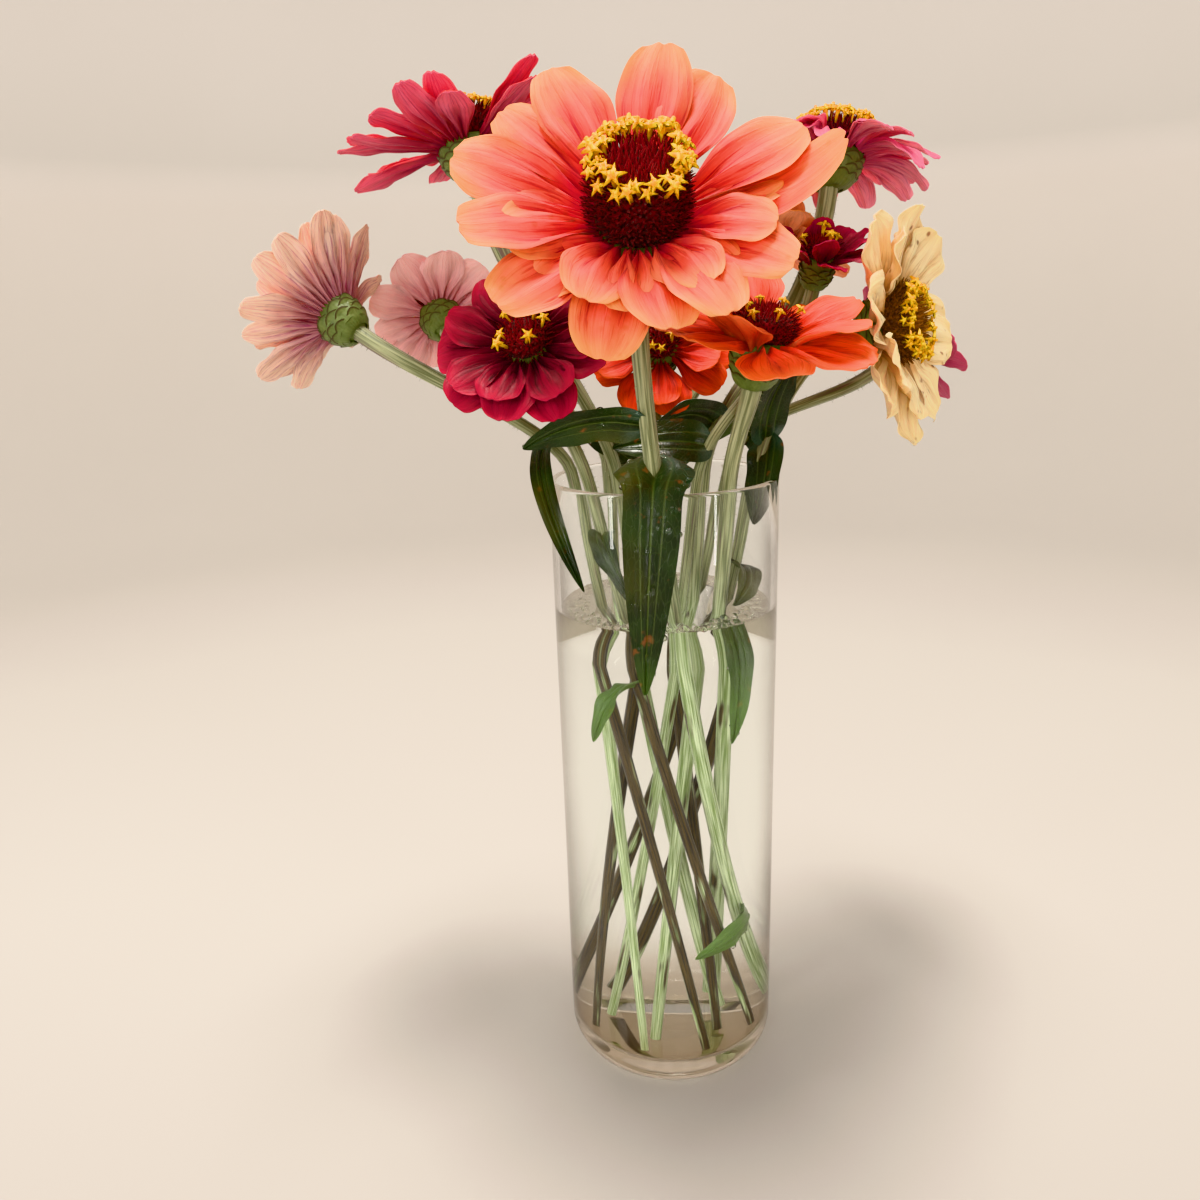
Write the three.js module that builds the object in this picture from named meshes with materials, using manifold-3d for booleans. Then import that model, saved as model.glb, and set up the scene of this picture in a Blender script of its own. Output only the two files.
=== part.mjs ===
// A bunch of twelve cut zinnias standing in a tall cylinder of clear glass, three quarters full of water.
// Millimetres, +Z up. The origin is the centre of the glass's flat underside, and the bunch's front is -Y.
// Every zinnia has a leafy stem with a scaly green cup, a fan of petals, a dark disc and a ring of yellow florets.

import * as THREE from "three";
import { mergeVertices } from "three/addons/utils/BufferGeometryUtils.js";
import Module from "manifold-3d";

const wasm = await Module();
wasm.setup();

// The glass: its outer radius, height, wall and floor, and the roundings of its foot and its inner corner.
const GLASS_RADIUS = 38;
const GLASS_HEIGHT = 216;
const GLASS_WALL = 2.2;
const GLASS_FLOOR = 10;
const FOOT_ROUNDING = 10;
const CORNER_ROUNDING = 6;
const GLASS_SIDES = 30;
const BORE_RADIUS = GLASS_RADIUS - GLASS_WALL;

// The water's surface, and the gap that is kept between any two pieces.
const WATER_LEVEL = 172;
const GAP = 0.3;

// In the glass every stem is straight, from a foot on the floor to where it crosses the lip.
// The outer stems all lean one way round and the inner ones the other way, so that no two meet.
const RINGS = {
  outer: { twist: 120, lip: 30.5, foot: 25.5 },
  inner: { twist: -136, lip: 15.5, foot: 15.5 },
};
const STEM_SIDES = 6;
const SWEEP_STEPS = 5;

// How thin a stem is at its foot and how thick under its bloom, as shares of its radius at the lip.
const FOOT_SHARE = 0.7;
const NECK_SHARE = 1.3;

// A bloom's fixed measures: its hub's height, how far the hub is wider than the disc, and the roots' depth in it.
const HUB_HEIGHT = 3.2;
const HUB_MARGIN = 2.2;
const ROOT_DEPTH = 2.5;
const PETAL_THICKNESS = 1.5;

const GREEN = 0x7f9650;

// hub: the top of the green cup, facing: the way the bloom looks, sag: how far its low petals hang, in degrees.
// layers: [petals, length, half width, lift, droop, cup], with lift and droop in degrees, and steps along each.
// low: how much more lift and droop each layer's petals have where they point down, and how much shorter they are.
// inner: where the second layer begins and ends around the bloom, in degrees. Both are left out where they are plain.
// odd: petals of the first layer that are out of line, as [number, lift, droop, share of the length].
// disc: [radius, height], cup: [radius, height], stem: [radius, ring of stems, compass angle at the lip, start, end],
// where start and end say how far the stem keeps its straight way and how early it turns to the bloom.
const ZINNIAS = [
  {
    name: "coral",
    colour: 0xf07a5c,
    hub: [-9.6, -50, 289],
    facing: [0, -0.72, 0.69],
    sag: 5,
    steps: 4,
    layers: [
      [13, 39, 10.2, 19, 16, 0.1],
      [9, 29, 9.5, 26, 24, 0.14],
    ],
    low: [
      [22, 46, 0.3],
      [24, 50, 0.3],
    ],
    inner: [160, 380],
    odd: [
      [0, 0, 10, 0],
      [3, 0, -6, 0.08],
      [4, 0, -6, 0.03],
      [8, -12, -10, 0.1],
      [9, -22, 4, 0],
    ],
    disc: [12, 17],
    florets: 14,
    cup: [12, 10],
    stem: [2.7, "outer", -98, 0.35, 0.3],
  },
  {
    name: "crimson",
    colour: 0x9c1c40,
    hub: [-41.5, -21, 258],
    facing: [-0.15, -0.7, 0.7],
    sag: 6,
    steps: 3,
    layers: [
      [9, 22, 7.6, 6, 14, 0.12],
      [7, 19, 7, 22, 16, 0.16],
    ],
    disc: [7, 5],
    florets: 8,
    cup: [7.5, 8],
    stem: [2.1, "outer", -143, 0.35, 0.35],
  },
  {
    name: "orange",
    colour: 0xee4a24,
    hub: [26.5, -30, 257],
    facing: [0.14, -0.3, 0.94],
    sag: 4,
    steps: 3,
    layers: [
      [8, 24, 8.8, 10, 14, 0.15],
      [5, 22, 8.4, 28, 10, 0.2],
    ],
    disc: [8.5, 7],
    florets: 9,
    cup: [9, 12],
    stem: [2.6, "outer", -53, 0.4, 0.35],
  },
  {
    name: "vermilion",
    colour: 0xd9492c,
    hub: [0, 9, 255],
    facing: [-0.1, -0.75, 0.65],
    sag: 12,
    steps: 2,
    layers: [
      [7, 18, 6.8, 0, 24, 0.15],
      [4, 15, 6, 18, 18, 0.2],
    ],
    disc: [6, 4],
    florets: 7,
    cup: [6.5, 8],
    stem: [2, "inner", 100, 0.3, 0.3],
  },
  {
    name: "red",
    colour: 0xd8303a,
    hub: [-59, 12, 318],
    facing: [-0.42, 0.1, 0.9],
    sag: 4,
    steps: 3,
    layers: [
      [10, 30, 6, 8, 18, 0.12],
      [7, 26, 6, 22, 12, 0.15],
    ],
    disc: [9.5, 7],
    florets: 12,
    cup: [10, 9],
    stem: [2.3, "inner", 175, 0.2, 0.35],
  },
  {
    name: "peach",
    colour: 0xf0a080,
    hub: [-101, -4, 269],
    facing: [-0.76, 0.37, 0.53],
    sag: 6,
    steps: 3,
    layers: [
      [9, 28, 7.4, 26, 6, 0.14],
      [7, 25, 6.8, 40, 4, 0.16],
    ],
    disc: [7.5, 6],
    florets: 8,
    cup: [8, 9],
    stem: [2.1, "outer", 172, 0.2, 0.4],
  },
  {
    name: "pink",
    colour: 0xee8298,
    hub: [-75, 35, 268],
    facing: [-0.3, 0.75, 0.6],
    sag: 4,
    steps: 2,
    layers: [
      [7, 18, 6.8, 4, 10, 0.12],
      [5, 16, 6.2, 18, 10, 0.15],
    ],
    disc: [7, 5],
    florets: 8,
    cup: [7.5, 8],
    stem: [2, "outer", 127, 0.3, 0.3],
  },
  {
    name: "cream",
    colour: 0xf0d69c,
    hub: [69, -4.5, 261],
    facing: [0.79, -0.59, 0.15],
    sag: 4,
    steps: 3,
    layers: [
      [8, 27, 10.5, 18, 8, 0.12],
      [5, 23, 9.5, 34, 10, 0.16],
    ],
    disc: [10.5, 6.5],
    florets: 14,
    cup: [10.5, 8],
    stem: [2.3, "outer", -8, 0.3, 0.35],
  },
  {
    name: "magenta",
    colour: 0xd9547c,
    hub: [58, 24, 313],
    facing: [0.1, -0.02, 0.99],
    sag: 2,
    steps: 3,
    layers: [
      [9, 25, 6, -12, 38, 0.14],
      [7, 23, 6.2, 14, 40, 0.16],
    ],
    disc: [11, 5],
    florets: 14,
    cup: [10.5, 9],
    stem: [2.5, "inner", 25, 0.25, 0.45],
  },
  {
    name: "apricot",
    colour: 0xf58c50,
    hub: [47, 54, 289],
    facing: [0.4, 0.2, 0.9],
    sag: 4,
    steps: 2,
    layers: [
      [6, 19, 7, 6, 14, 0.14],
      [4, 17, 6.4, 22, 12, 0.16],
    ],
    disc: [6.5, 5],
    florets: 7,
    cup: [7, 8],
    stem: [2, "outer", 82, 0.3, 0.35],
  },
  {
    name: "garnet",
    colour: 0x8a1226,
    hub: [50, 4, 280],
    facing: [0.1, -0.35, 0.93],
    sag: 2,
    steps: 2,
    layers: [
      [6, 14, 5.4, 6, 8, 0.16],
      [4, 12, 5, 28, 4, 0.2],
    ],
    disc: [5, 4],
    florets: 7,
    cup: [5.5, 7],
    stem: [1.9, "inner", -50, 0.3, 0.4],
  },
  {
    name: "plum",
    colour: 0xb4325a,
    hub: [90, 46, 252],
    facing: [0.7, 0.3, 0.6],
    sag: 4,
    steps: 2,
    layers: [
      [6, 20, 7, 4, 12, 0.12],
      [4, 18, 6.4, 20, 10, 0.15],
    ],
    disc: [7, 5],
    florets: 8,
    cup: [7.5, 8],
    stem: [2, "outer", 37, 0.3, 0.35],
  },
];

// Leaves by their stem: midrib as [root, turning point, tip], the way across, half width, and fold of the sides.
const LEAVES = {
  coral: [
    {
      midrib: [
        [-4.8, -30.5, 223],
        [-6.5, -49, 228],
        [-9.5, -42, 156],
      ],
      across: [-1, 0, 0],
      half: 11,
      fold: 0.15,
    },
    {
      midrib: [
        [18, 1, 54],
        [30, -16, 58],
        [6, -29, 51],
      ],
      across: [0, -0.6, 0.8],
      half: 4,
      fold: 0.2,
    },
    {
      midrib: [
        [-6.5, -31.5, 235],
        [-24, -33, 243],
        [-46, -31, 230],
      ],
      across: [0, 0.5, -1],
      half: 7,
      fold: 0.3,
    },
  ],
  crimson: [
    {
      midrib: [
        [-20.6, -17.3, 200],
        [-22, -29, 203],
        [-12, -29.5, 180],
      ],
      across: [-0.7, 0.6, 0],
      half: 4.5,
      fold: 0.3,
    },
  ],
  orange: [
    {
      midrib: [
        [16.3, -12.7, 166],
        [24, -23, 160],
        [18, -24, 130],
      ],
      across: [-1, -0.6, 0],
      half: 5,
      fold: 0.2,
    },
  ],
  peach: [
    {
      midrib: [
        [-38, 1.6, 228],
        [-50, -17, 222],
        [-31, -35, 188],
      ],
      across: [1, 0.1, 0.3],
      half: 4.5,
      fold: 0.2,
    },
  ],
  cream: [
    {
      midrib: [
        [23, 0.2, 184],
        [31, -9, 187],
        [20, -23, 177],
      ],
      across: [-0.6, -0.6, 0.3],
      half: 6,
      fold: 0.2,
    },
    {
      midrib: [
        [33, -4.6, 226],
        [31, -12, 240],
        [40, -16, 252],
      ],
      across: [1, 0.5, -0.4],
      half: 6.5,
      fold: 0.2,
    },
    {
      midrib: [
        [33.6, -3.9, 227],
        [33, -11, 219],
        [29, -8, 199],
      ],
      across: [0.3, 1, 0],
      half: 5.5,
      fold: 0.2,
    },
  ],
  magenta: [
    {
      midrib: [
        [18.8, 9.3, 230],
        [10, -2, 240],
        [-4, -4, 231],
      ],
      across: [0, -0.7, 1],
      half: 5.5,
      fold: 0.2,
    },
  ],
  plum: [
    {
      midrib: [
        [30, 20.6, 222],
        [36, 12, 236],
        [35, 6, 243],
      ],
      across: [0.6, -0.3, -0.7],
      half: 3.5,
      fold: 0.2,
    },
  ],
  apricot: [
    {
      midrib: [
        [6.4, 32, 223],
        [14, 25, 237],
        [15, 12, 236],
      ],
      across: [0.9, 0.2, -0.4],
      half: 4.5,
      fold: 0.2,
    },
  ],
  garnet: [
    {
      midrib: [
        [14.5, -9.6, 226],
        [3, -16, 231],
        [-17, -13, 227],
      ],
      across: [0, 0.5, 1],
      half: 5,
      fold: 0.2,
    },
  ],
};

// Repeatable scatter between -1 and 1, so that no two petals are quite alike.
function scatter(seed) {
  const wave = Math.sin(seed * 12.9898 + 4.1414) * 43758.5453;
  return 2 * (wave - Math.floor(wave)) - 1;
}

function vector(list) {
  return new THREE.Vector3(...list);
}

function radians(degrees) {
  return THREE.MathUtils.degToRad(degrees);
}

// A point at a compass angle around the glass's axis.
function around(radius, degrees, height) {
  return new THREE.Vector3(
    radius * Math.cos(radians(degrees)),
    radius * Math.sin(radians(degrees)),
    height,
  );
}

// Moves every corner of a geometry.
function bend(geometry, place) {
  const corners = geometry.getAttribute("position");
  const corner = new THREE.Vector3();
  for (let i = 0; i < corners.count; i += 1) {
    place(corner.fromBufferAttribute(corners, i));
    corners.setXYZ(i, corner.x, corner.y, corner.z);
  }
  return geometry;
}

// The solid that a closed geometry encloses.
function solid(geometry) {
  const bare = new THREE.BufferGeometry();
  bare.setAttribute("position", geometry.toNonIndexed().getAttribute("position"));
  const merged = mergeVertices(bare, 1e-3);
  const corners = merged.index.array;
  const kept = [];
  for (let i = 0; i < corners.length; i += 3) {
    const [a, b, c] = corners.slice(i, i + 3);
    if (a !== b && b !== c && c !== a) kept.push(a, b, c);
  }
  return new wasm.Manifold(
    new wasm.Mesh({
      numProp: 3,
      vertProperties: merged.attributes.position.array,
      triVerts: new Uint32Array(kept),
    }),
  );
}

// A named mesh in the group, from a solid.
const bouquet = new THREE.Group();

function add(name, body, look) {
  const { vertProperties, triVerts } = body.getMesh();
  const geometry = new THREE.BufferGeometry();
  geometry.setAttribute("position", new THREE.BufferAttribute(vertProperties, 3));
  geometry.setIndex(new THREE.BufferAttribute(triVerts, 1));
  geometry.computeVertexNormals();
  const mesh = new THREE.Mesh(geometry, new THREE.MeshStandardMaterial({ metalness: 0, ...look }));
  mesh.name = name;
  bouquet.add(mesh);
}

// A profile of [radius, height] points, from the lowest to the highest, turned about +Z.
function turned(profile, sides) {
  const points = profile.map(([radius, height]) => new THREE.Vector2(radius, height));
  return new THREE.LatheGeometry(points, sides).rotateX(Math.PI / 2);
}

// Points of a quarter circle about a centre, from one angle to another.
function arc(centre, radius, from, to, steps) {
  return Array.from({ length: steps + 1 }, (_, i) => {
    const angle = radians(from + ((to - from) * i) / steps);
    return [centre[0] + radius * Math.cos(angle), centre[1] + radius * Math.sin(angle)];
  });
}

// A thin four-sided blade with a blunt tip. Its corners reach place as x across (-1 to 1), y along (0 to 1)
// and z through (-1 to 1).
function blade(steps, place) {
  return bend(new THREE.ConeGeometry(1, 1, 4, steps), (corner) => {
    const along = corner.y + 0.5;
    const ring = Math.max(1 - along, 1e-6);
    corner.set(corner.x / ring, 1 - (1 - along) ** 1.6, corner.z / ring);
    place(corner);
  });
}

// How wide a petal is along its length, as a share of its widest.
function petalWidth(along) {
  const grown = 0.25 + 0.75 * THREE.MathUtils.smoothstep(along, 0, 0.62);
  const beyond = Math.max(along - 0.62, 0) / 0.4;
  return grown * Math.sqrt(Math.max(1 - beyond * beyond, 0.05));
}

// One petal in its bloom's own frame, whose +Z is the way the bloom faces. upness is the world's up there.
function petal(zinnia, level, number, upness) {
  const [count, length, half, lift, droop, cup] = zinnia.layers[level];
  const [moreLift, moreDroop, shorter] = zinnia.low?.[level] ?? [0, 0, 0];
  const [first, last] = (level > 0 && zinnia.inner) || [0, 360];
  const odd = (level === 0 && zinnia.odd?.find(([one]) => one === number)) || [0, 0, 0, 0];
  const seed = zinnia.hub[0] + 31 * level + 7 * number;
  const share = (number + 0.5 * level + 0.22 * scatter(seed)) / count;
  const turn = radians(first + (last - first) * share);
  const outward = new THREE.Vector3(Math.cos(turn), Math.sin(turn), 0);
  const sideways = new THREE.Vector3(Math.sin(turn), -Math.cos(turn), 0);
  const up = outward.dot(upness);
  const low = Math.max(-up, 0);
  const lean = (number % 2) * 5 + zinnia.sag * up + moreLift * low + odd[1];
  const start = radians(lift + 4 * scatter(seed + 2) + lean);
  const fall = radians(droop + 5 * scatter(seed + 3) + moreDroop * low + odd[2]);
  const reach = length * (1 + 0.07 * scatter(seed + 1)) * (1 - shorter * low + odd[3]);
  const root = zinnia.disc[0] + HUB_MARGIN - ROOT_DEPTH;
  return solid(
    blade(zinnia.steps, (corner) => {
      const slope = start - fall * corner.y;
      const width = half * petalWidth(corner.y) * corner.x;
      const rise = (PETAL_THICKNESS / 2) * corner.z + cup * Math.abs(width);
      const away = (reach * (Math.sin(start) - Math.sin(slope))) / fall;
      const high = (reach * (Math.cos(slope) - Math.cos(start))) / fall;
      corner.copy(outward).multiplyScalar(root + away - rise * Math.sin(slope));
      corner.addScaledVector(sideways, width);
      corner.z += HUB_HEIGHT / 2 + high + rise * Math.cos(slope);
    }),
  );
}

// The flat hub that the petals grow from.
function hub(radius) {
  return [
    [0, GAP],
    [0.9 * radius, GAP],
    [radius, 1.2],
    [0.96 * radius, HUB_HEIGHT],
    [0, HUB_HEIGHT],
  ];
}

// The disc: a mound of chaffy bracts, whose tips stand out in a chequered pattern.
function disc([radius, height], sides) {
  const profile = [
    [0, 0],
    [0.94 * radius, 0],
    [radius, 0.3 * height],
    [0.97 * radius, 0.62 * height],
    [0.82 * radius, 0.84 * height],
    [0.42 * radius, 0.97 * height],
    [0, height],
  ];
  const step = (2 * Math.PI) / sides;
  return bend(turned(profile, sides), (corner) => {
    const row = profile.findIndex(([, level]) => Math.abs(level - corner.z) < 1e-3);
    const odd = (Math.round(Math.atan2(corner.x, -corner.y) / step) + row) % 2 !== 0;
    if (row < 1 || Math.hypot(corner.x, corner.y) < 1e-6) return;
    const out = odd ? 1.04 : 0.92;
    corner.set(corner.x * out, corner.y * out, corner.z + (odd ? 0.03 * height : 0));
  });
}

// Where the ring of florets sits: a band on the disc's shoulder, from inside to outside and back over the top.
function shoulder([radius, height]) {
  return [
    [0.72 * radius, 0.915 * height + 0.4],
    [0.92 * radius, 0.87 * height + 0.4],
    [0.98 * radius, 0.87 * height + 1.3],
    [0.74 * radius, 0.915 * height + 1.8],
    [0.72 * radius, 0.915 * height + 0.4],
  ];
}

// The open florets of the largest disc, each a five-pointed yellow star on a slim tube.
function stars(size, count) {
  const [radius, height] = size;
  const spread = 1.5 + 0.09 * radius;
  const tall = 2.1 * spread;
  const each = Array.from({ length: count }, (_, number) => {
    const star = new THREE.ConeGeometry(1, 1, 10, 1).rotateX(-Math.PI / 2);
    bend(star, (corner) => {
      const point = Math.round(Math.atan2(corner.x, corner.y) / (Math.PI / 5)) % 2 === 0;
      const share = point ? spread : 0.45 * spread;
      corner.set(corner.x * share, corner.y * share, (corner.z + 0.5) * tall - 0.3);
    });
    star.rotateY(0.55 + 0.2 * scatter(number + 2 * radius));
    star.translate(0.86 * radius, 0, 0.89 * height + 1);
    star.rotateZ(((number + 0.15 * scatter(number + radius)) / count) * 2 * Math.PI);
    return solid(star);
  });
  return wasm.Manifold.union([solid(turned(shoulder(size), 12)), ...each]);
}

// The open florets of a smaller disc, close together: a crown whose every other corner stands up and out.
function crown(size, count) {
  const [radius, height] = size;
  const sides = 2 * count;
  const step = (2 * Math.PI) / sides;
  return bend(turned(shoulder(size), sides), (corner) => {
    if (corner.z < 0.915 * height + 1 && Math.hypot(corner.x, corner.y) < 0.95 * radius) return;
    const tooth = Math.round(Math.atan2(corner.x, -corner.y) / step);
    const odd = tooth % 2 !== 0;
    const out = odd ? 1.04 + 1.3 / radius : 1;
    const lift = odd ? 2.2 + 0.7 * scatter(Math.abs(tooth) + radius) : 0;
    corner.set(corner.x * out, corner.y * out, corner.z + lift);
  });
}

// The green cup under the bloom, in three rows of overlapping scales with scalloped tips.
function cup([radius, height], stem, sides) {
  const profile = [
    [0, -height - 1],
    [1.15 * stem, -height - 0.6],
    [0.76 * radius, -0.64 * height],
    [0.67 * radius, -0.6 * height],
    [0.95 * radius, -0.34 * height],
    [0.87 * radius, -0.3 * height],
    [1.02 * radius, -0.09 * height],
    [0.92 * radius, 0],
    [0, 0],
  ];
  const step = (2 * Math.PI) / sides;
  return bend(turned(profile, sides), (corner) => {
    const row = profile.findIndex(([, level]) => Math.abs(level - corner.z) < 1e-3);
    if (row !== 2 && row !== 4 && row !== 6) return;
    const odd = (Math.round(Math.atan2(corner.x, -corner.y) / step) + row / 2) % 2 !== 0;
    const out = odd ? 1.03 : 0.94;
    corner.set(corner.x * out, corner.y * out, corner.z + (odd ? 0.05 : -0.05) * height);
  });
}

// A tube through rings of {point, tangent, radius}. The first ring is cut level, as a stem's foot is.
function tube(rings, sides) {
  const across = new THREE.Vector3();
  const beside = new THREE.Vector3();
  return bend(new THREE.CylinderGeometry(1, 1, 1, sides, rings.length - 1), (corner) => {
    const number = Math.round((corner.y + 0.5) * (rings.length - 1));
    const { point, tangent, radius } = rings[number];
    across.set(0, 1, 0).cross(tangent).normalize();
    beside.copy(across).cross(tangent);
    const { x, z } = corner;
    corner.copy(point).addScaledVector(across, x * radius).addScaledVector(beside, z * radius);
    if (number === 0) corner.addScaledVector(tangent, (point.z - corner.z) / tangent.z);
  });
}

// A stem's way: straight from its foot to the lip, then in one sweep to the bloom.
function stemRings(zinnia) {
  const [radius, ring, angle, start, end] = zinnia.stem;
  const { twist, lip, foot } = RINGS[ring];
  const bottom = around(foot, angle + twist, GLASS_FLOOR + GAP);
  const crossing = around(lip, angle, GLASS_HEIGHT);
  const straight = crossing.clone().sub(bottom).normalize();
  const facing = vector(zinnia.facing).normalize();
  const top = vector(zinnia.hub).addScaledVector(facing, 1 - zinnia.cup[1]);
  const span = top.distanceTo(crossing);
  const sweep = new THREE.CubicBezierCurve3(
    crossing,
    crossing.clone().addScaledVector(straight, start * span),
    top.clone().addScaledVector(facing, -end * span),
    top,
  );
  const rings = [{ point: bottom, tangent: straight, radius: FOOT_SHARE * radius }];
  for (let i = 0; i <= SWEEP_STEPS; i += 1) {
    const along = i / SWEEP_STEPS;
    const swell = 1 + (NECK_SHARE - 1) * THREE.MathUtils.smoothstep(along, 0.4, 1);
    rings.push({ point: sweep.getPoint(along), tangent: sweep.getTangent(along), radius: radius * swell });
  }
  return rings;
}

// The hole that a stem takes up in the water.
function stemHole(zinnia) {
  const [bottom, crossing] = stemRings(zinnia);
  const room = GAP / Math.cos(Math.PI / STEM_SIDES);
  const below = bottom.point.clone().addScaledVector(bottom.tangent, -5);
  const rings = [
    { point: below, tangent: bottom.tangent, radius: bottom.radius + room },
    { point: crossing.point, tangent: bottom.tangent, radius: crossing.radius + room },
  ];
  return solid(tube(rings, STEM_SIDES));
}

// A leaf along its midrib: broad at the base, drawn out to a point, its two sides folded up a little.
// room makes it larger all round, for the space that it takes up in the water.
function leaf({ midrib, across, half, fold }, room) {
  const curve = new THREE.QuadraticBezierCurve3(...midrib.map(vector));
  return solid(
    blade(5, (corner) => {
      const along = corner.y;
      const tangent = curve.getTangent(along);
      const side = vector(across).addScaledVector(tangent, -vector(across).dot(tangent)).normalize();
      const normal = side.clone().cross(tangent);
      const share = ((0.3 + 2.1 * along) * Math.max(1 - along, 0)) ** 0.7;
      const width = (1.3 * half * share + 5 * room) * corner.x;
      const rise = (0.7 + room) * corner.z + fold * Math.abs(width);
      corner.copy(curve.getPoint(along)).addScaledVector(tangent, room * (6 * along - 1));
      corner.addScaledVector(side, width).addScaledVector(normal, rise);
    }),
  );
}

function vase() {
  const lip = GLASS_WALL / 2;
  return turned(
    [
      [0, 0],
      ...arc([GLASS_RADIUS - FOOT_ROUNDING, FOOT_ROUNDING], FOOT_ROUNDING, -90, 0, 3),
      ...arc([GLASS_RADIUS - lip, GLASS_HEIGHT - lip], lip, 0, 180, 4),
      ...arc([BORE_RADIUS - CORNER_ROUNDING, GLASS_FLOOR + CORNER_ROUNDING], CORNER_ROUNDING, 0, -90, 3),
      [0, GLASS_FLOOR],
    ],
    GLASS_SIDES,
  );
}

function water() {
  const corner = [BORE_RADIUS - CORNER_ROUNDING, GLASS_FLOOR + CORNER_ROUNDING];
  return turned(
    [
      [0, GLASS_FLOOR + GAP],
      ...arc(corner, CORNER_ROUNDING - GAP, -90, 0, 3),
      [BORE_RADIUS - GAP, WATER_LEVEL],
      [0, WATER_LEVEL],
    ],
    GLASS_SIDES,
  );
}

add("vase", solid(vase()), { color: 0xe8f0ee, roughness: 0.05, transparent: true, opacity: 0.35 });

const spaces = [];
for (const zinnia of ZINNIAS) {
  const { name } = zinnia;
  const facing = vector(zinnia.facing).normalize();
  const turn = new THREE.Quaternion().setFromUnitVectors(new THREE.Vector3(0, 0, 1), facing);
  const place = new THREE.Matrix4().compose(vector(zinnia.hub), turn, new THREE.Vector3(1, 1, 1));
  const upness = new THREE.Vector3(0, 0, 1).applyQuaternion(turn.clone().invert());

  const petals = [solid(turned(hub(zinnia.disc[0] + HUB_MARGIN), 10))];
  zinnia.layers.forEach(([count], level) => {
    for (let number = 0; number < count; number += 1) petals.push(petal(zinnia, level, number, upness));
  });
  add(`${name}_petals`, wasm.Manifold.union(petals).transform(place.elements), {
    color: zinnia.colour,
    roughness: 0.6,
  });

  const seat = new THREE.Matrix4().makeTranslation(0, 0, HUB_HEIGHT + GAP).premultiply(place);
  const discSides = zinnia.disc[0] > 10 ? 14 : 12;
  add(`${name}_disc`, solid(disc(zinnia.disc, discSides)).transform(seat.elements), {
    color: 0x3c1014,
    roughness: 0.8,
  });
  const large = zinnia.disc[0] > 11.5;
  const florets = large ? stars(zinnia.disc, zinnia.florets) : solid(crown(zinnia.disc, zinnia.florets));
  add(`${name}_florets`, florets.transform(seat.elements), {
    color: 0xf0b428,
    roughness: 0.6,
  });

  const leaves = LEAVES[name] ?? [];
  const green = [
    solid(tube(stemRings(zinnia), STEM_SIDES)),
    solid(cup(zinnia.cup, zinnia.stem[0], 8)).transform(place.elements),
    ...leaves.map((each) => leaf(each, 0)),
  ];
  add(`${name}_stem`, wasm.Manifold.union(green), { color: GREEN, roughness: 0.65 });
  spaces.push(stemHole(zinnia));
  for (const each of leaves) {
    if (each.midrib[2][2] < WATER_LEVEL + 8) spaces.push(leaf(each, GAP));
  }
}

add("water", solid(water()).subtract(wasm.Manifold.union(spaces)), {
  color: 0xdfeee8,
  roughness: 0.02,
  transparent: true,
  opacity: 0.3,
});

export default bouquet;
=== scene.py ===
# %% [markdown]
# # Twelve zinnias in a glass of water
# A bunch of cut garden zinnias leans in a tall cylinder of clear glass. Each flower is a stem with a scaly
# green cup, a fan of petals, a dark cone of chaff and a crown of small yellow stars.
# The measures below are in millimetres, as a florist would give them. The finished meshes, the camera and
# the lamps are in metres.
# The plain solids are loaded first, because every piece made here stands exactly where its solid stands.

import math

import bmesh
import bpy
from mathutils import Matrix, Vector


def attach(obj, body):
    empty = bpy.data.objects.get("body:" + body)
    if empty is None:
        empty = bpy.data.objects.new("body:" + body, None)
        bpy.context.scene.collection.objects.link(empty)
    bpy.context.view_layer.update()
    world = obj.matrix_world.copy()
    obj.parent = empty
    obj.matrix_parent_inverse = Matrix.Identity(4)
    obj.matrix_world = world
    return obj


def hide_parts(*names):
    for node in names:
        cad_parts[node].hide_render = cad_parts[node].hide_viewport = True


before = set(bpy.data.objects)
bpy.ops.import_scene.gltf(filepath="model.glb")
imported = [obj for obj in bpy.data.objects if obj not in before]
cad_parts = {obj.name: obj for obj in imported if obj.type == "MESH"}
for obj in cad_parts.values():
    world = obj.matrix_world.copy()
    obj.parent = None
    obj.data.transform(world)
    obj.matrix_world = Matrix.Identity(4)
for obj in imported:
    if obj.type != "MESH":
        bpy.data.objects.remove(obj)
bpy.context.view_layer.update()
scene = bpy.context.scene
MM = 0.001
print(len(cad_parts), "solids")

# %% [markdown]
# ## The camera
# The bunch was photographed from close by with a phone, a little from above, so the big bloom in front
# looms and the foot of the glass shrinks. The rim, the water line and the walls of the glass gave the place
# and the tilt.

# %% Camera
CAMERA_PLACE = (-0.0224, -0.3214, 0.2687)
TILT_DOWN, ROLL = 16.53, -1.89
SENSOR_WIDTH, LENS = 36, 29.22
camera = bpy.data.objects.new("camera", bpy.data.cameras.new("camera"))
scene.collection.objects.link(camera)
camera.data.sensor_width = SENSOR_WIDTH
camera.data.lens = LENS
camera.data.clip_start = 0.01
camera.matrix_world = (
    Matrix.Translation(CAMERA_PLACE)
    @ Matrix.Rotation(math.radians(90 - TILT_DOWN), 4, "X")
    @ Matrix.Rotation(math.radians(ROLL), 4, "Z")
)
scene.camera = camera
print("camera at", tuple(camera.matrix_world.translation))

# %% [markdown]
# ## Values that travel through nodes
# Petals, leaves and veins all follow formulas. A formula is easy to read as `width * 0.5 + rise`, and hard
# to read as a web of Math nodes. So a Wire stands for a number on its way through a node tree and an Arrow
# for a vector, and arithmetic on them adds the nodes. The same two work in geometry trees and in materials.

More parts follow.
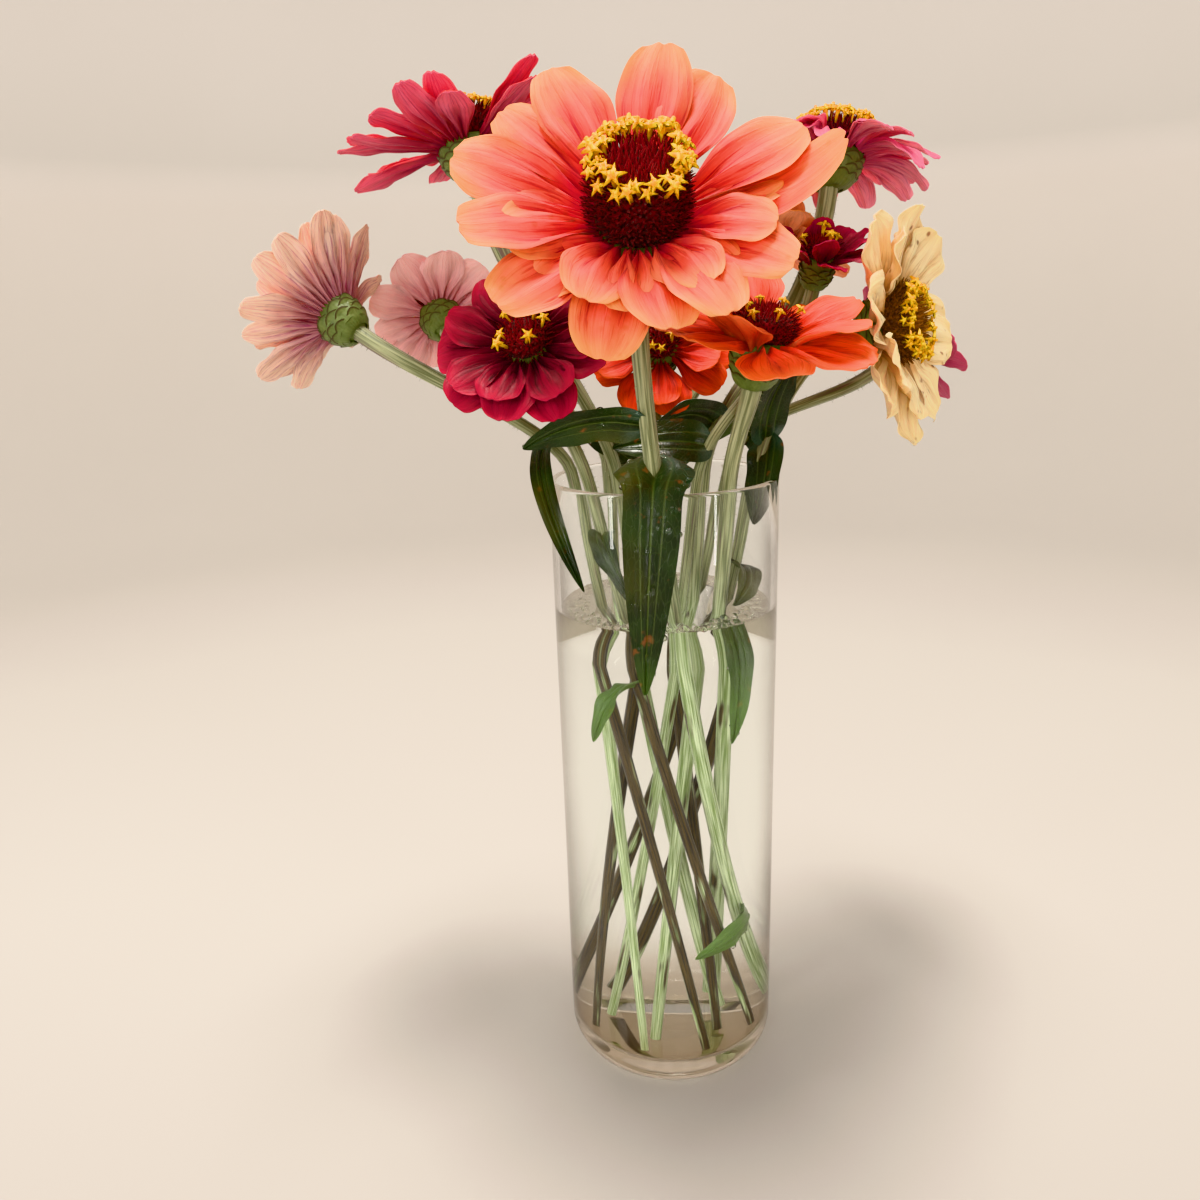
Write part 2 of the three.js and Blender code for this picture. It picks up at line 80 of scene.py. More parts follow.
# %% Wires
def add_node(tree, kind, inputs=(), **settings):
    """A new node with its settings, its inputs fed from wires or plain values."""
    node = tree.nodes.new(kind)
    for key, value in settings.items():
        setattr(node, key, value)
    for key, value in inputs.items() if isinstance(inputs, dict) else enumerate(inputs):
        if isinstance(value, Wire):
            tree.links.new(value.socket, node.inputs[key])
        elif value is not None:
            node.inputs[key].default_value = value
    return node


def result(tree, kind, inputs=(), output=0, **settings):
    """What a new node gives."""
    return Wire(add_node(tree, kind, inputs, **settings).outputs[output])


def adds(operation):
    """A method that adds one node of arithmetic."""
    return lambda self, *others: self.math(operation, *others)


class Wire:
    """A number on its way through a node tree."""

    def __init__(self, socket):
        self.socket = socket
        self.tree = socket.id_data

    def math(self, operation, *others):
        return result(self.tree, "ShaderNodeMath", (self, *others), operation=operation)

    __add__ = __radd__ = adds("ADD")
    __sub__ = adds("SUBTRACT")
    __mul__ = __rmul__ = adds("MULTIPLY")
    __truediv__ = adds("DIVIDE")
    __pow__ = adds("POWER")
    sin = adds("SINE")
    cos = adds("COSINE")
    exponent = adds("EXPONENT")
    floor = adds("FLOOR")
    size = adds("ABSOLUTE")
    root = adds("SQRT")
    above = adds("MAXIMUM")
    below = adds("MINIMUM")
    beyond = adds("GREATER_THAN")

    def __rsub__(self, other):
        return self * -1 + other

    def ease(self, low, high):
        """0 below low, 1 above high, and a smooth step between."""
        span = {"Value": self, "From Min": low, "From Max": high}
        return result(self.tree, "ShaderNodeMapRange", span, "Result", interpolation_type="SMOOTHSTEP")


print("numbers can travel")

# %% Arrows
class Arrow(Wire):
    """A vector on its way through a node tree."""

    def math(self, operation, *others):
        node = add_node(self.tree, "ShaderNodeVectorMath", (self, *others), operation=operation)
        return Arrow(node.outputs["Vector"])

    def __mul__(self, number):
        scaled = {"Vector": self, "Scale": number}
        node = add_node(self.tree, "ShaderNodeVectorMath", scaled, operation="SCALE")
        return Arrow(node.outputs["Vector"])

    def dot(self, other):
        return result(self.tree, "ShaderNodeVectorMath", (self, other), "Value", operation="DOT_PRODUCT")

    cross = adds("CROSS_PRODUCT")
    unit = adds("NORMALIZE")

    def parts(self):
        return [Wire(out) for out in add_node(self.tree, "ShaderNodeSeparateXYZ", (self,)).outputs]


def arrow(tree, x, y, z):
    return Arrow(add_node(tree, "ShaderNodeCombineXYZ", (x, y, z)).outputs[0])


def noise(place, scale, detail=2.0):
    """A soft random value, mostly between 0.3 and 0.7, that varies over a place."""
    return result(place.tree, "ShaderNodeTexNoise", {"Vector": place, "Scale": scale, "Detail": detail})


def scatter(seed):
    """A repeatable number between -1 and 1."""
    wave = math.sin(seed * 12.9898 + 4.1414) * 43758.5453
    return 2 * (wave - math.floor(wave)) - 1


print("vectors can travel")

# %% [markdown]
# ## From a tree to a piece
# Every tree gets named inputs for its measures. It is hung on an empty mesh or a curve, its inputs are set
# by their identifiers, and what it grows is copied out as a plain mesh. Then the modifier and its host go.
# A piece is such a mesh, or several, put in place in metres with one finish.

# %% Growing a tree
def new_tree(title, sizes):
    """A Geometry Nodes tree, and the outputs of its group input by name."""
    tree = bpy.data.node_groups.new(title, "GeometryNodeTree")
    tree.interface.new_socket("Geometry", in_out="INPUT", socket_type="NodeSocketGeometry")
    for name, value in sizes.items():
        kind = {tuple: "Vector", int: "Int", float: "Float"}[type(value)]
        socket = tree.interface.new_socket(name, in_out="INPUT", socket_type="NodeSocket" + kind)
        socket.default_value = value
    tree.interface.new_socket("Finish", in_out="INPUT", socket_type="NodeSocketMaterial")
    tree.interface.new_socket("Geometry", in_out="OUTPUT", socket_type="NodeSocketGeometry")
    given = tree.nodes.new("NodeGroupInput").outputs
    values = {}
    for name, value in sizes.items():
        values[name] = Arrow(given[name]) if isinstance(value, tuple) else Wire(given[name])
    return tree, Wire(given["Geometry"]), values, Wire(given["Finish"])


def end_tree(shape, finish):
    """The last nodes of every tree: real geometry, with its finish."""
    finished = {"Geometry": real_copies(shape), "Material": finish}
    done = result(shape.tree, "GeometryNodeSetMaterial", finished)
    add_node(shape.tree, "NodeGroupOutput", (done,))
    return shape.tree


def grow(tree, values, finish, source=None):
    """What a tree grows with these values, as a plain mesh."""
    host = bpy.data.objects.new("host", source or bpy.data.meshes.new("nothing"))
    scene.collection.objects.link(host)
    modifier = host.modifiers.new(tree.name, "NODES")
    modifier.node_group = tree
    for item in tree.interface.items_tree:
        if item.in_out == "INPUT" and item.name in values:
            modifier[item.identifier] = values[item.name]
        if item.in_out == "INPUT" and item.name == "Finish":
            modifier[item.identifier] = finish
    view_layer = bpy.context.evaluated_depsgraph_get()
    made = bpy.data.meshes.new_from_object(host.evaluated_get(view_layer), depsgraph=view_layer)
    host.modifiers.remove(modifier)
    bpy.data.objects.remove(host)
    return made


print("trees can be grown")

# %% Steps that the trees share
def set_aside(geometry, name, value, kind="FLOAT"):
    """Geometry that remembers a value at each of its points."""
    inputs = {"Geometry": geometry, "Name": name, "Value": value}
    return result(geometry.tree, "GeometryNodeStoreNamedAttribute", inputs, data_type=kind, domain="POINT")


def recall(tree, name):
    """The value that the points remember under a name."""
    return result(tree, "GeometryNodeInputNamedAttribute", {"Name": name}, data_type="FLOAT")


def sheet_of(tree, across, along):
    """A closed slab as a grid of corners: x from -1 to 1, y from 0 to 1, and z -1 below and 1 above."""
    cube = result(tree, "GeometryNodeMeshCube", {0: (2, 1, 2), 1: across, 2: along, 3: 2})
    return result(tree, "GeometryNodeSetPosition", {"Geometry": cube, "Offset": (0, 0.5, 0)})


def place_points(shape, where):
    return result(shape.tree, "GeometryNodeSetPosition", {"Geometry": shape, "Position": where})


def point_place(tree):
    """Where each point is, before it is moved."""
    return Arrow(tree.nodes.new("GeometryNodeInputPosition").outputs[0])


def point_number(tree):
    return result(tree, "GeometryNodeInputIndex")


def loose_points(tree, count):
    """So many points, all at the origin until they are placed."""
    return result(tree, "GeometryNodeMeshLine", {"Count": count, "Offset": (0, 0, 0)})


def on_points(points, shape, turn=None, size=None):
    """A copy of a shape on each point."""
    copies = {"Points": points, "Instance": shape, "Rotation": turn, "Scale": size}
    return result(points.tree, "GeometryNodeInstanceOnPoints", copies)


def strewn(surface, density, seed, where=None):
    """Random points on a surface, and the turn that stands a thing upright on each."""
    spread = {"Mesh": surface, "Selection": where, "Density": density, "Seed": seed}
    node = add_node(surface.tree, "GeometryNodeDistributePointsOnFaces", spread)
    return Wire(node.outputs["Points"]), Wire(node.outputs["Rotation"])


def real_copies(copies):
    return result(copies.tree, "GeometryNodeRealizeInstances", (copies,))


def random_value(low, high, seed):
    """A number for each point, always the same for a seed."""
    inputs = {2: low, 3: high, "Seed": seed}
    return result(seed.tree, "FunctionNodeRandomValue", inputs, 1, data_type="FLOAT")


def soften(shape, angle=0.9):
    """Smooth shading, but with a crisp rim where two faces meet at more than this angle."""
    bent = result(shape.tree, "GeometryNodeInputMeshEdgeAngle", output="Unsigned Angle")
    flat = bent.math("LESS_THAN", angle)
    for domain, smooth in (("FACE", True), ("EDGE", flat)):
        shading = {"Geometry": shape, "Shade Smooth": smooth}
        shape = result(shape.tree, "GeometryNodeSetShadeSmooth", shading, domain=domain)
    return shape


print("trees share their steps")

# %% Points and pieces
def points_with(rows):
    """A mesh of loose points at the origin, each of which remembers one row of named measures."""
    mesh = bpy.data.meshes.new("points")
    mesh.from_pydata([(0, 0, 0)] * len(rows), [], [])
    for name in rows[0]:
        mesh.attributes.new(name, "FLOAT", "POINT").data.foreach_set("value", [row[name] for row in rows])
    return mesh


def join(meshes):
    """Several meshes as one."""
    objects = [bpy.data.objects.new("part", mesh) for mesh in meshes]
    for part in objects:
        scene.collection.objects.link(part)
    if len(objects) > 1:
        with bpy.context.temp_override(active_object=objects[0], selected_editable_objects=objects):
            bpy.ops.object.join()
    whole = objects[0].data
    bpy.data.objects.remove(objects[0])
    return whole


def piece(name, mesh, slot, *nodes, place=None):
    """A finished piece: its mesh in place in metres, riding on the one body of the bunch."""
    mesh.transform(Matrix.Scale(MM, 4) @ (place or Matrix.Identity(4)))
    made = bpy.data.objects.new(name, mesh)
    scene.collection.objects.link(made)
    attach(made, "root")
    if nodes:
        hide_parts(*nodes)
    return made


print("pieces can be placed")

# %% [markdown]
# ## Turned shapes
# The glass, the water and the green cups are round. A profile turned about the upright axis gives them,
# with one shared vertex at each pole, so that the shell is closed and its faces point outwards.

# %% Turning
def turned(profile, sides, finish):
    """A profile of (radius, height), from the lowest to the highest, turned about the axis."""
    corners, faces, rings = [], [], []
    for radius, height in profile:
        count = sides if radius > 1e-6 else 1
        rings.append(range(len(corners), len(corners) + count))
        for i in range(count):
            angle = 2 * math.pi * i / count
            corners.append((radius * math.cos(angle), radius * math.sin(angle), height))
    for low, high in zip(rings, rings[1:]):
        for i in range(sides):
            j = i + 1
            face = [low[i % len(low)], low[j % len(low)], high[j % len(high)], high[i % len(high)]]
            face = list(dict.fromkeys(face))
            if len(face) > 2:
                faces.append(face)
    mesh = bpy.data.meshes.new("turned")
    mesh.from_pydata(corners, [], faces)
    mesh.shade_smooth()
    mesh.materials.append(finish)
    return mesh


def arc(centre, radius, start, end, steps):
    """Points of a part of a circle, from one angle to another in degrees."""
    angles = [math.radians(start + (end - start) * i / steps) for i in range(steps + 1)]
    return [(centre[0] + radius * math.cos(a), centre[1] + radius * math.sin(a)) for a in angles]


print("profiles can be turned")

# %% [markdown]
# ## Finishes
# A finish starts as one Principled shader. What is alike all over a surface is set on the shader itself.
# What changes over the surface, such as veins, streaks and specks, comes from nodes.

# %% Starting a finish
def shade(red, green, blue):
    """A colour as it looks on a screen, 0 to 255, in the linear values that a shader wants."""
    parts = [value / 255 for value in (red, green, blue)]
    linear = [part / 12.92 if part < 0.0405 else ((part + 0.055) / 1.055) ** 2.4 for part in parts]
    return (*linear, 1.0)


def new_finish(name, **settings):
    """A material, its tree and its shader, with the shader's settings."""
    material = bpy.data.materials.new(name)
    material.use_nodes = True
    shader = material.node_tree.nodes["Principled BSDF"]
    for key, value in settings.items():
        shader.inputs[key.replace("_", " ")].default_value = value
    return material, material.node_tree, shader


def blend(share, first, second):
    """A colour between two colours."""
    return result(share.tree, "ShaderNodeMix", {0: share, 6: first, 7: second}, 2, data_type="RGBA")


def left_place(tree):
    """The place on the petal, scale or leaf that the tree left on each point."""
    return Arrow(add_node(tree, "ShaderNodeAttribute", attribute_name="petal").outputs["Vector"])


def left_value(tree, name):
    """A number that the tree left on each point."""
    return result(tree, "ShaderNodeAttribute", output="Fac", attribute_name=name)


def own_place(tree):
    """The point on the piece, in metres."""
    return Arrow(add_node(tree, "ShaderNodeTexCoord").outputs["Object"])


def feed(shader, name, value):
    value.tree.links.new(value.socket, shader.inputs[name])


def relief(shader, height, distance, strength):
    inputs = {"Height": height, "Distance": distance, "Strength": strength}
    feed(shader, "Normal", result(height.tree, "ShaderNodeBump", inputs))


def dress(shader, colour, roughness, height, distance, strength):
    """Feeds a finish all that changes over its surface."""
    feed(shader, "Base Color", colour)
    feed(shader, "Roughness", roughness)
    relief(shader, height, distance, strength)


print("finishes can be mixed")

# %% [markdown]
# ## Room and light
# The photograph was cut out onto a plain warm ground with a soft shadow. A wide shallow bowl gives that
# ground from every side, without a horizon line. A lamp straight above is the midday sun: it lights the low
# petals, throws their shadows on each other and lays the soft band of shade around the foot. A large weak
# one in front fills the rest, and two narrow ones at the sides draw bright lines on the glass.
# A ray through glass, water, stems and glass again turns many times. With too few bounces it ends black,
# and some rays turn for ever in the wall, so the clear finishes end those with the colour of the room.

# %% The bowl
BOWL_RADIUS, BOWL_TOP, BOWL_CURVE, BOWL_FLOOR = 1400, 1300, 500, 400
ground, ground_tree, ground_shader = new_finish("warm_paper", Roughness=0.9)
paper_place = own_place(ground_tree)
paper_grain = noise(paper_place, 3.0)
paper = blend(paper_grain, shade(196, 189, 182), shade(201, 195, 188))
_, away, up = paper_place.parts()
# The floor is painted darker towards the front: painted shade.
far = away.ease(-0.28, 0.12)
feed(ground_shader, "Base Color", blend(far, shade(164, 157, 151), paper))
wall_glow = up.ease(0.0, 0.7) * 0.2
ground_shader.inputs["Emission Color"].default_value = shade(250, 238, 225)
feed(ground_shader, "Emission Strength", wall_glow)
bowl_profile = [
    (BOWL_RADIUS, BOWL_TOP),
    (BOWL_RADIUS, BOWL_CURVE),
    *arc((BOWL_RADIUS - BOWL_CURVE, BOWL_CURVE), BOWL_CURVE, 0, -90, 12),
    (BOWL_FLOOR, 0),
    (0, 0),
]
bowl_mesh = turned(bowl_profile[::-1], 96, ground)
bowl_mesh.flip_normals()
bowl_mesh.transform(Matrix.Scale(MM, 4))
bowl = bpy.data.objects.new("bowl", bowl_mesh)
scene.collection.objects.link(bowl)
print("bowl", 2 * BOWL_RADIUS, "across")

# %% Lamps
SUN_COLOUR = (1.0, 0.95, 0.88)
SKY_COLOUR = (1.0, 0.98, 0.95)
FILL_COLOUR = (1.0, 0.97, 0.93)


def lamp(name, place, aim, size, watts, colour, mirrored=True):
    """A soft lamp, so wide and so high, that looks at a point. It may stay out of reflections."""
    light = bpy.data.lights.new(name, "AREA")
    light.shape = "RECTANGLE"
    light.size, light.size_y = size
    light.energy = watts
    light.color = colour
    holder = bpy.data.objects.new(name, light)
    scene.collection.objects.link(holder)
    holder.visible_glossy = mirrored
    place, aim = Vector(place), Vector(aim)
    turn = (place - aim).to_track_quat("Z", "Y").to_matrix().to_4x4()
    holder.matrix_world = Matrix.Translation(place) @ turn


lamp("high_sun", (-0.06, -0.03, 1.4), (0, 0, 0.22), (0.36, 0.36), 22, SUN_COLOUR)
lamp("front_fill", (-0.3, -1.1, 0.5), (0, 0, 0.2), (0.9, 0.9), 8, FILL_COLOUR, mirrored=False)
lamp("window_strip", (-0.6, -0.42, 0.3), (0, 0, 0.12), (0.05, 0.5), 1.4, SKY_COLOUR)
lamp("door_strip", (0.5, -0.5, 0.22), (0, 0, 0.08), (0.03, 0.4), 0.8, SKY_COLOUR)
print(len(bpy.data.lights), "lamps")

# %% The room
ROOM_STRENGTH = 0.6
LAST_TURN, SPARE_TURNS = 9, 3
world = bpy.data.worlds.new("soft_room")
world.use_nodes = True
world.node_tree.nodes["Background"].inputs[0].default_value = shade(235, 230, 225)
world.node_tree.nodes["Background"].inputs[1].default_value = ROOM_STRENGTH
scene.world = world
scene.view_settings.view_transform = "Khronos PBR Neutral"
scene.cycles.max_bounces = LAST_TURN + SPARE_TURNS
scene.cycles.transmission_bounces = LAST_TURN + SPARE_TURNS
scene.cycles.glossy_bounces = LAST_TURN + SPARE_TURNS
print("a ray may turn", LAST_TURN, "times")

# %% [markdown]
# ## The glass and the water
# The glass is a heavy straight cylinder: a thin wall, a thick floor, a rounded foot and a fire-polished
# lip. It is turned from its real profile, inside and outside, because clear glass shows both surfaces.
# Water has to bite a hair into the glass: with a sliver of air between them, the wall would look silvered.
# A lamp can't shine through a glass shader, so the clear finishes let it pass where a shadow is asked for.
# A thick wall seen along its length looks darker, so the glass takes a darker tint where it is seen at a
# slant.

# %% Clear finishes
FOOT_TINT = (0.76, 0.67, 0.58, 1)
EDGE_TINT = (0.14, 0.115, 0.1, 1)
ROOM_SEEN = shade(190, 172, 150)
FOOT_FROM, FOOT_TO, LIP_FROM, LIP_TO = 0.004, 0.034, 0.19, 0.21


def either(share, first, second):
    """The first shader, and the second one where the share is 1."""
    shaders = [Wire(node.outputs[0]) for node in (first, second)]
    return add_node(share.tree, "ShaderNodeMixShader", (share, *shaders))


def clear_finish(name, tint, bend, mirror, passing, edge=None):
    """Clear stuff that bends what is behind it and lets lamps through. An edge makes it darker there."""
    clear = dict(IOR=bend, Roughness=0.0, Transmission_Weight=1.0)
    material, tree, shader = new_finish(name, Base_Color=tint, **clear)
    shader.inputs["Specular Tint"].default_value = (mirror, mirror, mirror, 1)
    if edge:
        slant = result(tree, "ShaderNodeLayerWeight", {"Blend": 0.5}, "Facing")
        height = own_place(tree).parts()[2]
        foot = 1 - height.ease(FOOT_FROM, FOOT_TO)
        below_lip = 1 - height.ease(LIP_FROM, LIP_TO)
        wall = blend(foot, tint, FOOT_TINT)
        feed(shader, "Base Color", blend(slant.ease(0.4, 0.95) * below_lip, wall, edge))
    ripples = noise(own_place(tree), 14.0, 0.0)
    relief(shader, ripples, 0.0004, 0.25)
    passed = add_node(tree, "ShaderNodeBsdfTransparent", {"Color": passing})
    path = add_node(tree, "ShaderNodeLightPath")
    both = either(Wire(path.outputs["Is Shadow Ray"]), shader, passed)
    room = add_node(tree, "ShaderNodeEmission", {"Color": ROOM_SEEN, "Strength": 1.0})
    lost = Wire(path.outputs["Ray Depth"]).beyond(float(LAST_TURN))
    ended = either(lost, both, room)
    tree.links.new(ended.outputs[0], tree.nodes["Material Output"].inputs["Surface"])
    return material


glass_finish = clear_finish(
    "flint_glass", (0.97, 0.985, 0.98, 1), bend=1.48, mirror=0.7, passing=(0.93, 0.94, 0.93, 1),
    edge=EDGE_TINT,
)
water_finish = clear_finish(
    "still_water", (0.975, 0.985, 0.97, 1), bend=1.33, mirror=0.25, passing=(0.95, 0.96, 0.95, 1)
)
print("glass and water finishes")

# %% Glass and water
GLASS_RADIUS, GLASS_HEIGHT, GLASS_WALL, GLASS_FLOOR = 38, 216, 2.2, 10
FOOT_ROUNDING, CORNER_ROUNDING, WATER_LEVEL, BITE = 10, 6, 172, 0.15
bore = GLASS_RADIUS - GLASS_WALL
lip = GLASS_WALL / 2
corner = (bore - CORNER_ROUNDING, GLASS_FLOOR + CORNER_ROUNDING)
glass_profile = [
    (0, 0.7),
    (18, 0.5),
    *arc((GLASS_RADIUS - FOOT_ROUNDING, FOOT_ROUNDING), FOOT_ROUNDING, -90, 0, 14),
    *[(GLASS_RADIUS, height) for height in range(30, 210, 20)],
    *arc((GLASS_RADIUS - lip, GLASS_HEIGHT - lip), lip, 0, 180, 10),
    *[(bore, height) for height in range(200, 20, -20)],
    *arc(corner, CORNER_ROUNDING, 0, -90, 8),
    (12, GLASS_FLOOR + 0.4),
    (0, GLASS_FLOOR + 0.6),
]
vase_wall = piece("vase_wall", turned(glass_profile, 128, glass_finish), "clear_glass", "vase")
water_profile = [
    (0, GLASS_FLOOR + 0.6 - BITE),
    (12, GLASS_FLOOR + 0.4 - BITE),
    *arc(corner, CORNER_ROUNDING + BITE, -90, 0, 8),
    *[(bore + BITE, height) for height in range(40, 170, 20)],
    (bore + BITE, WATER_LEVEL + 0.7),
    (bore - 0.4, WATER_LEVEL + 0.5),
    (bore - 1.4, WATER_LEVEL + 0.15),
    (bore - 4, WATER_LEVEL),
    (10, WATER_LEVEL),
    (0, WATER_LEVEL),
]
water_body = piece("water_body", turned(water_profile, 128, water_finish), "water", "water")
print("glass", len(vase_wall.data.polygons), "faces, water", len(water_body.data.polygons))

# %% [markdown]
# ## The twelve blooms, as a list
# Each bloom is a row of measures, so that a loop can make its pieces.
# - hub is the top of the green cup, facing is where the bloom looks, and sag is how far its low petals hang.
# - layers are rings of petals: a count, a length, half a width, a lift, a droop and a cupping.
# - low adds to the lift and the droop of the petals on the low side and shortens them, a row for each layer.
# - inner is the part of the round that the inner layer fills, in degrees.
# - odd moves single petals, by layer and number: lift, droop, length and curl.
# - disc is the radius and the height of the cone, cup is the same for the green cup, and florets counts the
#   pairs of yellow stars.
# - stem is its radius, its ring in the glass, its angle there, and how stiffly it leaves the lip and meets
#   the bloom.
# - petals changes inputs of the tree of petals, and ribs is how strongly their backs are striped.
# - The colours run from the tip of a petal over its middle to its base, then comes its back, and specks are
#   the brown spots of age.

# %% Blooms
ZINNIAS = {
    "coral": dict(
        hub=(-9.6, -50, 289), facing=(0, -0.72, 0.69), sag=5,
        layers=[(13, 39, 10.2, 19, 16, 0.1), (9, 29, 9.5, 26, 24, 0.14)],
        low=[(22, 46, 0.3), (24, 50, 0.3)], inner=(160, 380),
        odd={
            (0, 0): (0, 10, 0, 14), (0, 3): (0, -6, 0.08, 0), (0, 4): (0, -6, 0.03, 0),
            (0, 8): (-12, -10, 0.1, 0), (0, 9): (-22, 4, 0, 0),
        },
        disc=(12, 17), florets=18, cup=(12, 10), stem=(2.7, "outer", -98, 0.35, 0.3), petals={"Fold": 1.15},
        tip=(255, 166, 104), middle=(246, 98, 76), base=(200, 36, 60), back=(248, 152, 124), specks=0.3,
    ),
    "crimson": dict(
        hub=(-41.5, -21, 258), facing=(-0.15, -0.7, 0.7), sag=6,
        layers=[(10, 22, 8.4, 6, 14, 0.12), (8, 19, 7.6, 24, 18, 0.16)],
        disc=(7, 5), florets=3, cup=(7.5, 8), stem=(2.1, "outer", -143, 0.35, 0.35), petals={"Fold": 1.2},
        tip=(172, 36, 62), middle=(124, 16, 38), base=(60, 4, 18), back=(150, 48, 70),
    ),
    "orange": dict(
        hub=(26.5, -30, 257), facing=(0.14, -0.3, 0.94), sag=4,
        layers=[(8, 26, 10.6, 10, 14, 0.2), (5, 24, 9.6, 44, 28, 0.25)],
        disc=(8.5, 7), florets=3, cup=(9, 12), stem=(2.6, "outer", -53, 0.4, 0.35),
        tip=(255, 120, 60), middle=(244, 84, 36), base=(206, 40, 30), back=(250, 130, 88),
    ),
    "vermilion": dict(
        hub=(0, 9, 255), facing=(-0.1, -0.75, 0.65), sag=12,
        layers=[(9, 18, 7.2, 0, 24, 0.15), (6, 16, 6.4, 18, 18, 0.2)],
        disc=(6, 4), florets=4, cup=(6.5, 8), stem=(2, "inner", 100, 0.3, 0.3),
        tip=(236, 84, 34), middle=(212, 50, 28), base=(160, 30, 30), back=(226, 110, 80),
    ),
    "red": dict(
        hub=(-59, 12, 318), facing=(-0.2, 0.12, 0.97), sag=4,
        layers=[(13, 30, 5.4, 8, 6, 0.12), (10, 27, 5, 14, 6, 0.15)],
        disc=(9.5, 7), florets=12, cup=(10, 9), stem=(2.3, "inner", 175, 0.2, 0.35),
        petals={"Fold": 1.2}, ribs=1.0,
        odd={(1, 8): (10, 0, 0.1, 0), (0, 6): (-10, 0, 0.05, 0)},
        tip=(236, 60, 60), middle=(214, 30, 44), base=(150, 14, 40), back=(222, 104, 130),
    ),
    "peach": dict(
        hub=(-101, -4, 269), facing=(-0.76, 0.37, 0.53), sag=6,
        layers=[(15, 24, 5.2, 26, 10, 0.2), (12, 21, 4.8, 42, 6, 0.22)],
        disc=(7.5, 6), florets=8, cup=(8, 9), stem=(2.1, "outer", 172, 0.2, 0.4),
        petals={"Fold": 1.4}, ribs=1.0,
        tip=(255, 214, 178), middle=(250, 172, 146), base=(190, 84, 120), back=(255, 214, 192), specks=0.2,
    ),
    "pink": dict(
        hub=(-75, 35, 268), facing=(-0.3, 0.75, 0.6), sag=4,
        layers=[(10, 18, 7.4, 4, 10, 0.12), (8, 16, 6.8, 20, 10, 0.15)],
        disc=(7, 5), florets=8, cup=(7.5, 8), stem=(2, "outer", 127, 0.3, 0.3), ribs=0.4,
        tip=(255, 190, 196), middle=(255, 170, 180), base=(255, 140, 152), back=(255, 196, 192),
    ),
    "cream": dict(
        hub=(69, -4.5, 261), facing=(0.79, -0.59, 0.15), sag=4,
        layers=[(8, 27, 10.5, 18, 8, 0.12), (5, 23, 9.5, 34, 10, 0.16)],
        disc=(10.5, 6.5), florets=20, cup=(10.5, 8), stem=(2.3, "outer", -8, 0.3, 0.35),
        petals={"Lump": 3.0, "Fold": 1.5, "Ripple": 1.3},
        tip=(255, 224, 166), middle=(255, 230, 184), base=(228, 168, 104), back=(250, 212, 160), specks=1.0,
    ),
    "magenta": dict(
        hub=(58, 24, 313), facing=(0.12, 0.2, 0.97), sag=2,
        layers=[(14, 25, 4.8, 12, 62, 0.2), (11, 22, 4.8, 26, 64, 0.22)],
        disc=(11, 6.5), florets=24, cup=(10.5, 9), stem=(2.5, "inner", 25, 0.25, 0.45),
        petals={"Fold": 1.5}, ribs=0.95,
        tip=(255, 120, 156), middle=(240, 96, 132), base=(216, 66, 108), back=(255, 158, 178),
    ),
    "apricot": dict(
        hub=(47, 54, 289), facing=(0.4, 0.2, 0.9), sag=4,
        layers=[(7, 20, 8, 6, 14, 0.14), (5, 18, 7, 22, 12, 0.16)],
        disc=(6.5, 5), florets=7, cup=(7, 8), stem=(2, "outer", 82, 0.3, 0.35),
        tip=(248, 156, 84), middle=(244, 134, 74), base=(214, 90, 60), back=(240, 150, 110),
    ),
    "garnet": dict(
        hub=(50, 4, 280), facing=(0.1, -0.35, 0.93), sag=2,
        layers=[(8, 16, 4.6, 24, 10, 0.16), (6, 14, 4.2, 44, 6, 0.2)],
        disc=(5, 4), florets=2, cup=(5.5, 7), stem=(1.9, "inner", -50, 0.3, 0.4),
        tip=(168, 24, 64), middle=(118, 10, 34), base=(70, 4, 20), back=(140, 40, 64),
    ),
    "plum": dict(
        hub=(90, 46, 252), facing=(0.7, 0.3, 0.6), sag=4,
        layers=[(6, 20, 7, 4, 12, 0.12), (4, 18, 6.4, 20, 10, 0.15)],
        disc=(7, 5), florets=8, cup=(7.5, 8), stem=(2, "outer", 37, 0.3, 0.35),
        tip=(206, 60, 104), middle=(180, 46, 90), base=(120, 20, 60), back=(190, 90, 120),
    ),
}
HUB_HEIGHT, HUB_MARGIN, ROOT_DEPTH, GAP = 3.2, 2.2, 2.5, 0.3


def bloom_place(zinnia, height=0.0):
    """Where a bloom's own frame is, whose +Z is the way that it faces."""
    turn = Vector((0, 0, 1)).rotation_difference(Vector(zinnia["facing"]))
    return Matrix.Translation(zinnia["hub"]) @ turn.to_matrix().to_4x4() @ Matrix.Translation((0, 0, height))


print(len(ZINNIAS), "blooms,", sum(layer[0] for z in ZINNIAS.values() for layer in z["layers"]), "petals")

# %% [markdown]
# ## Petals
# A zinnia's petal is leathery: narrow and channelled at its root, broad and blunt at its tip, ribbed along
# its back and arched over its length. Petals could be modelled one by one, but they all follow one rule
# with other measures. So one tree grows a whole fan: a thin closed slab at each root, bent along an arc,
# with folds that fade towards the tip, a shallow notch, and edges that ripple. Each root remembers the
# measures of its own petal.

# %% The tree of a fan of petals
# A rate is in radians, over half the width of a petal or over its length.
WIDEST, TAPER, ROOT_WIDTH = 0.62, 0.4, 0.25
FOLD_RATE, FINE_FOLD_RATE, RIPPLE_RATE, CURL_FROM, USUAL_HALF = 7.0, 15, 16, 0.55, 8


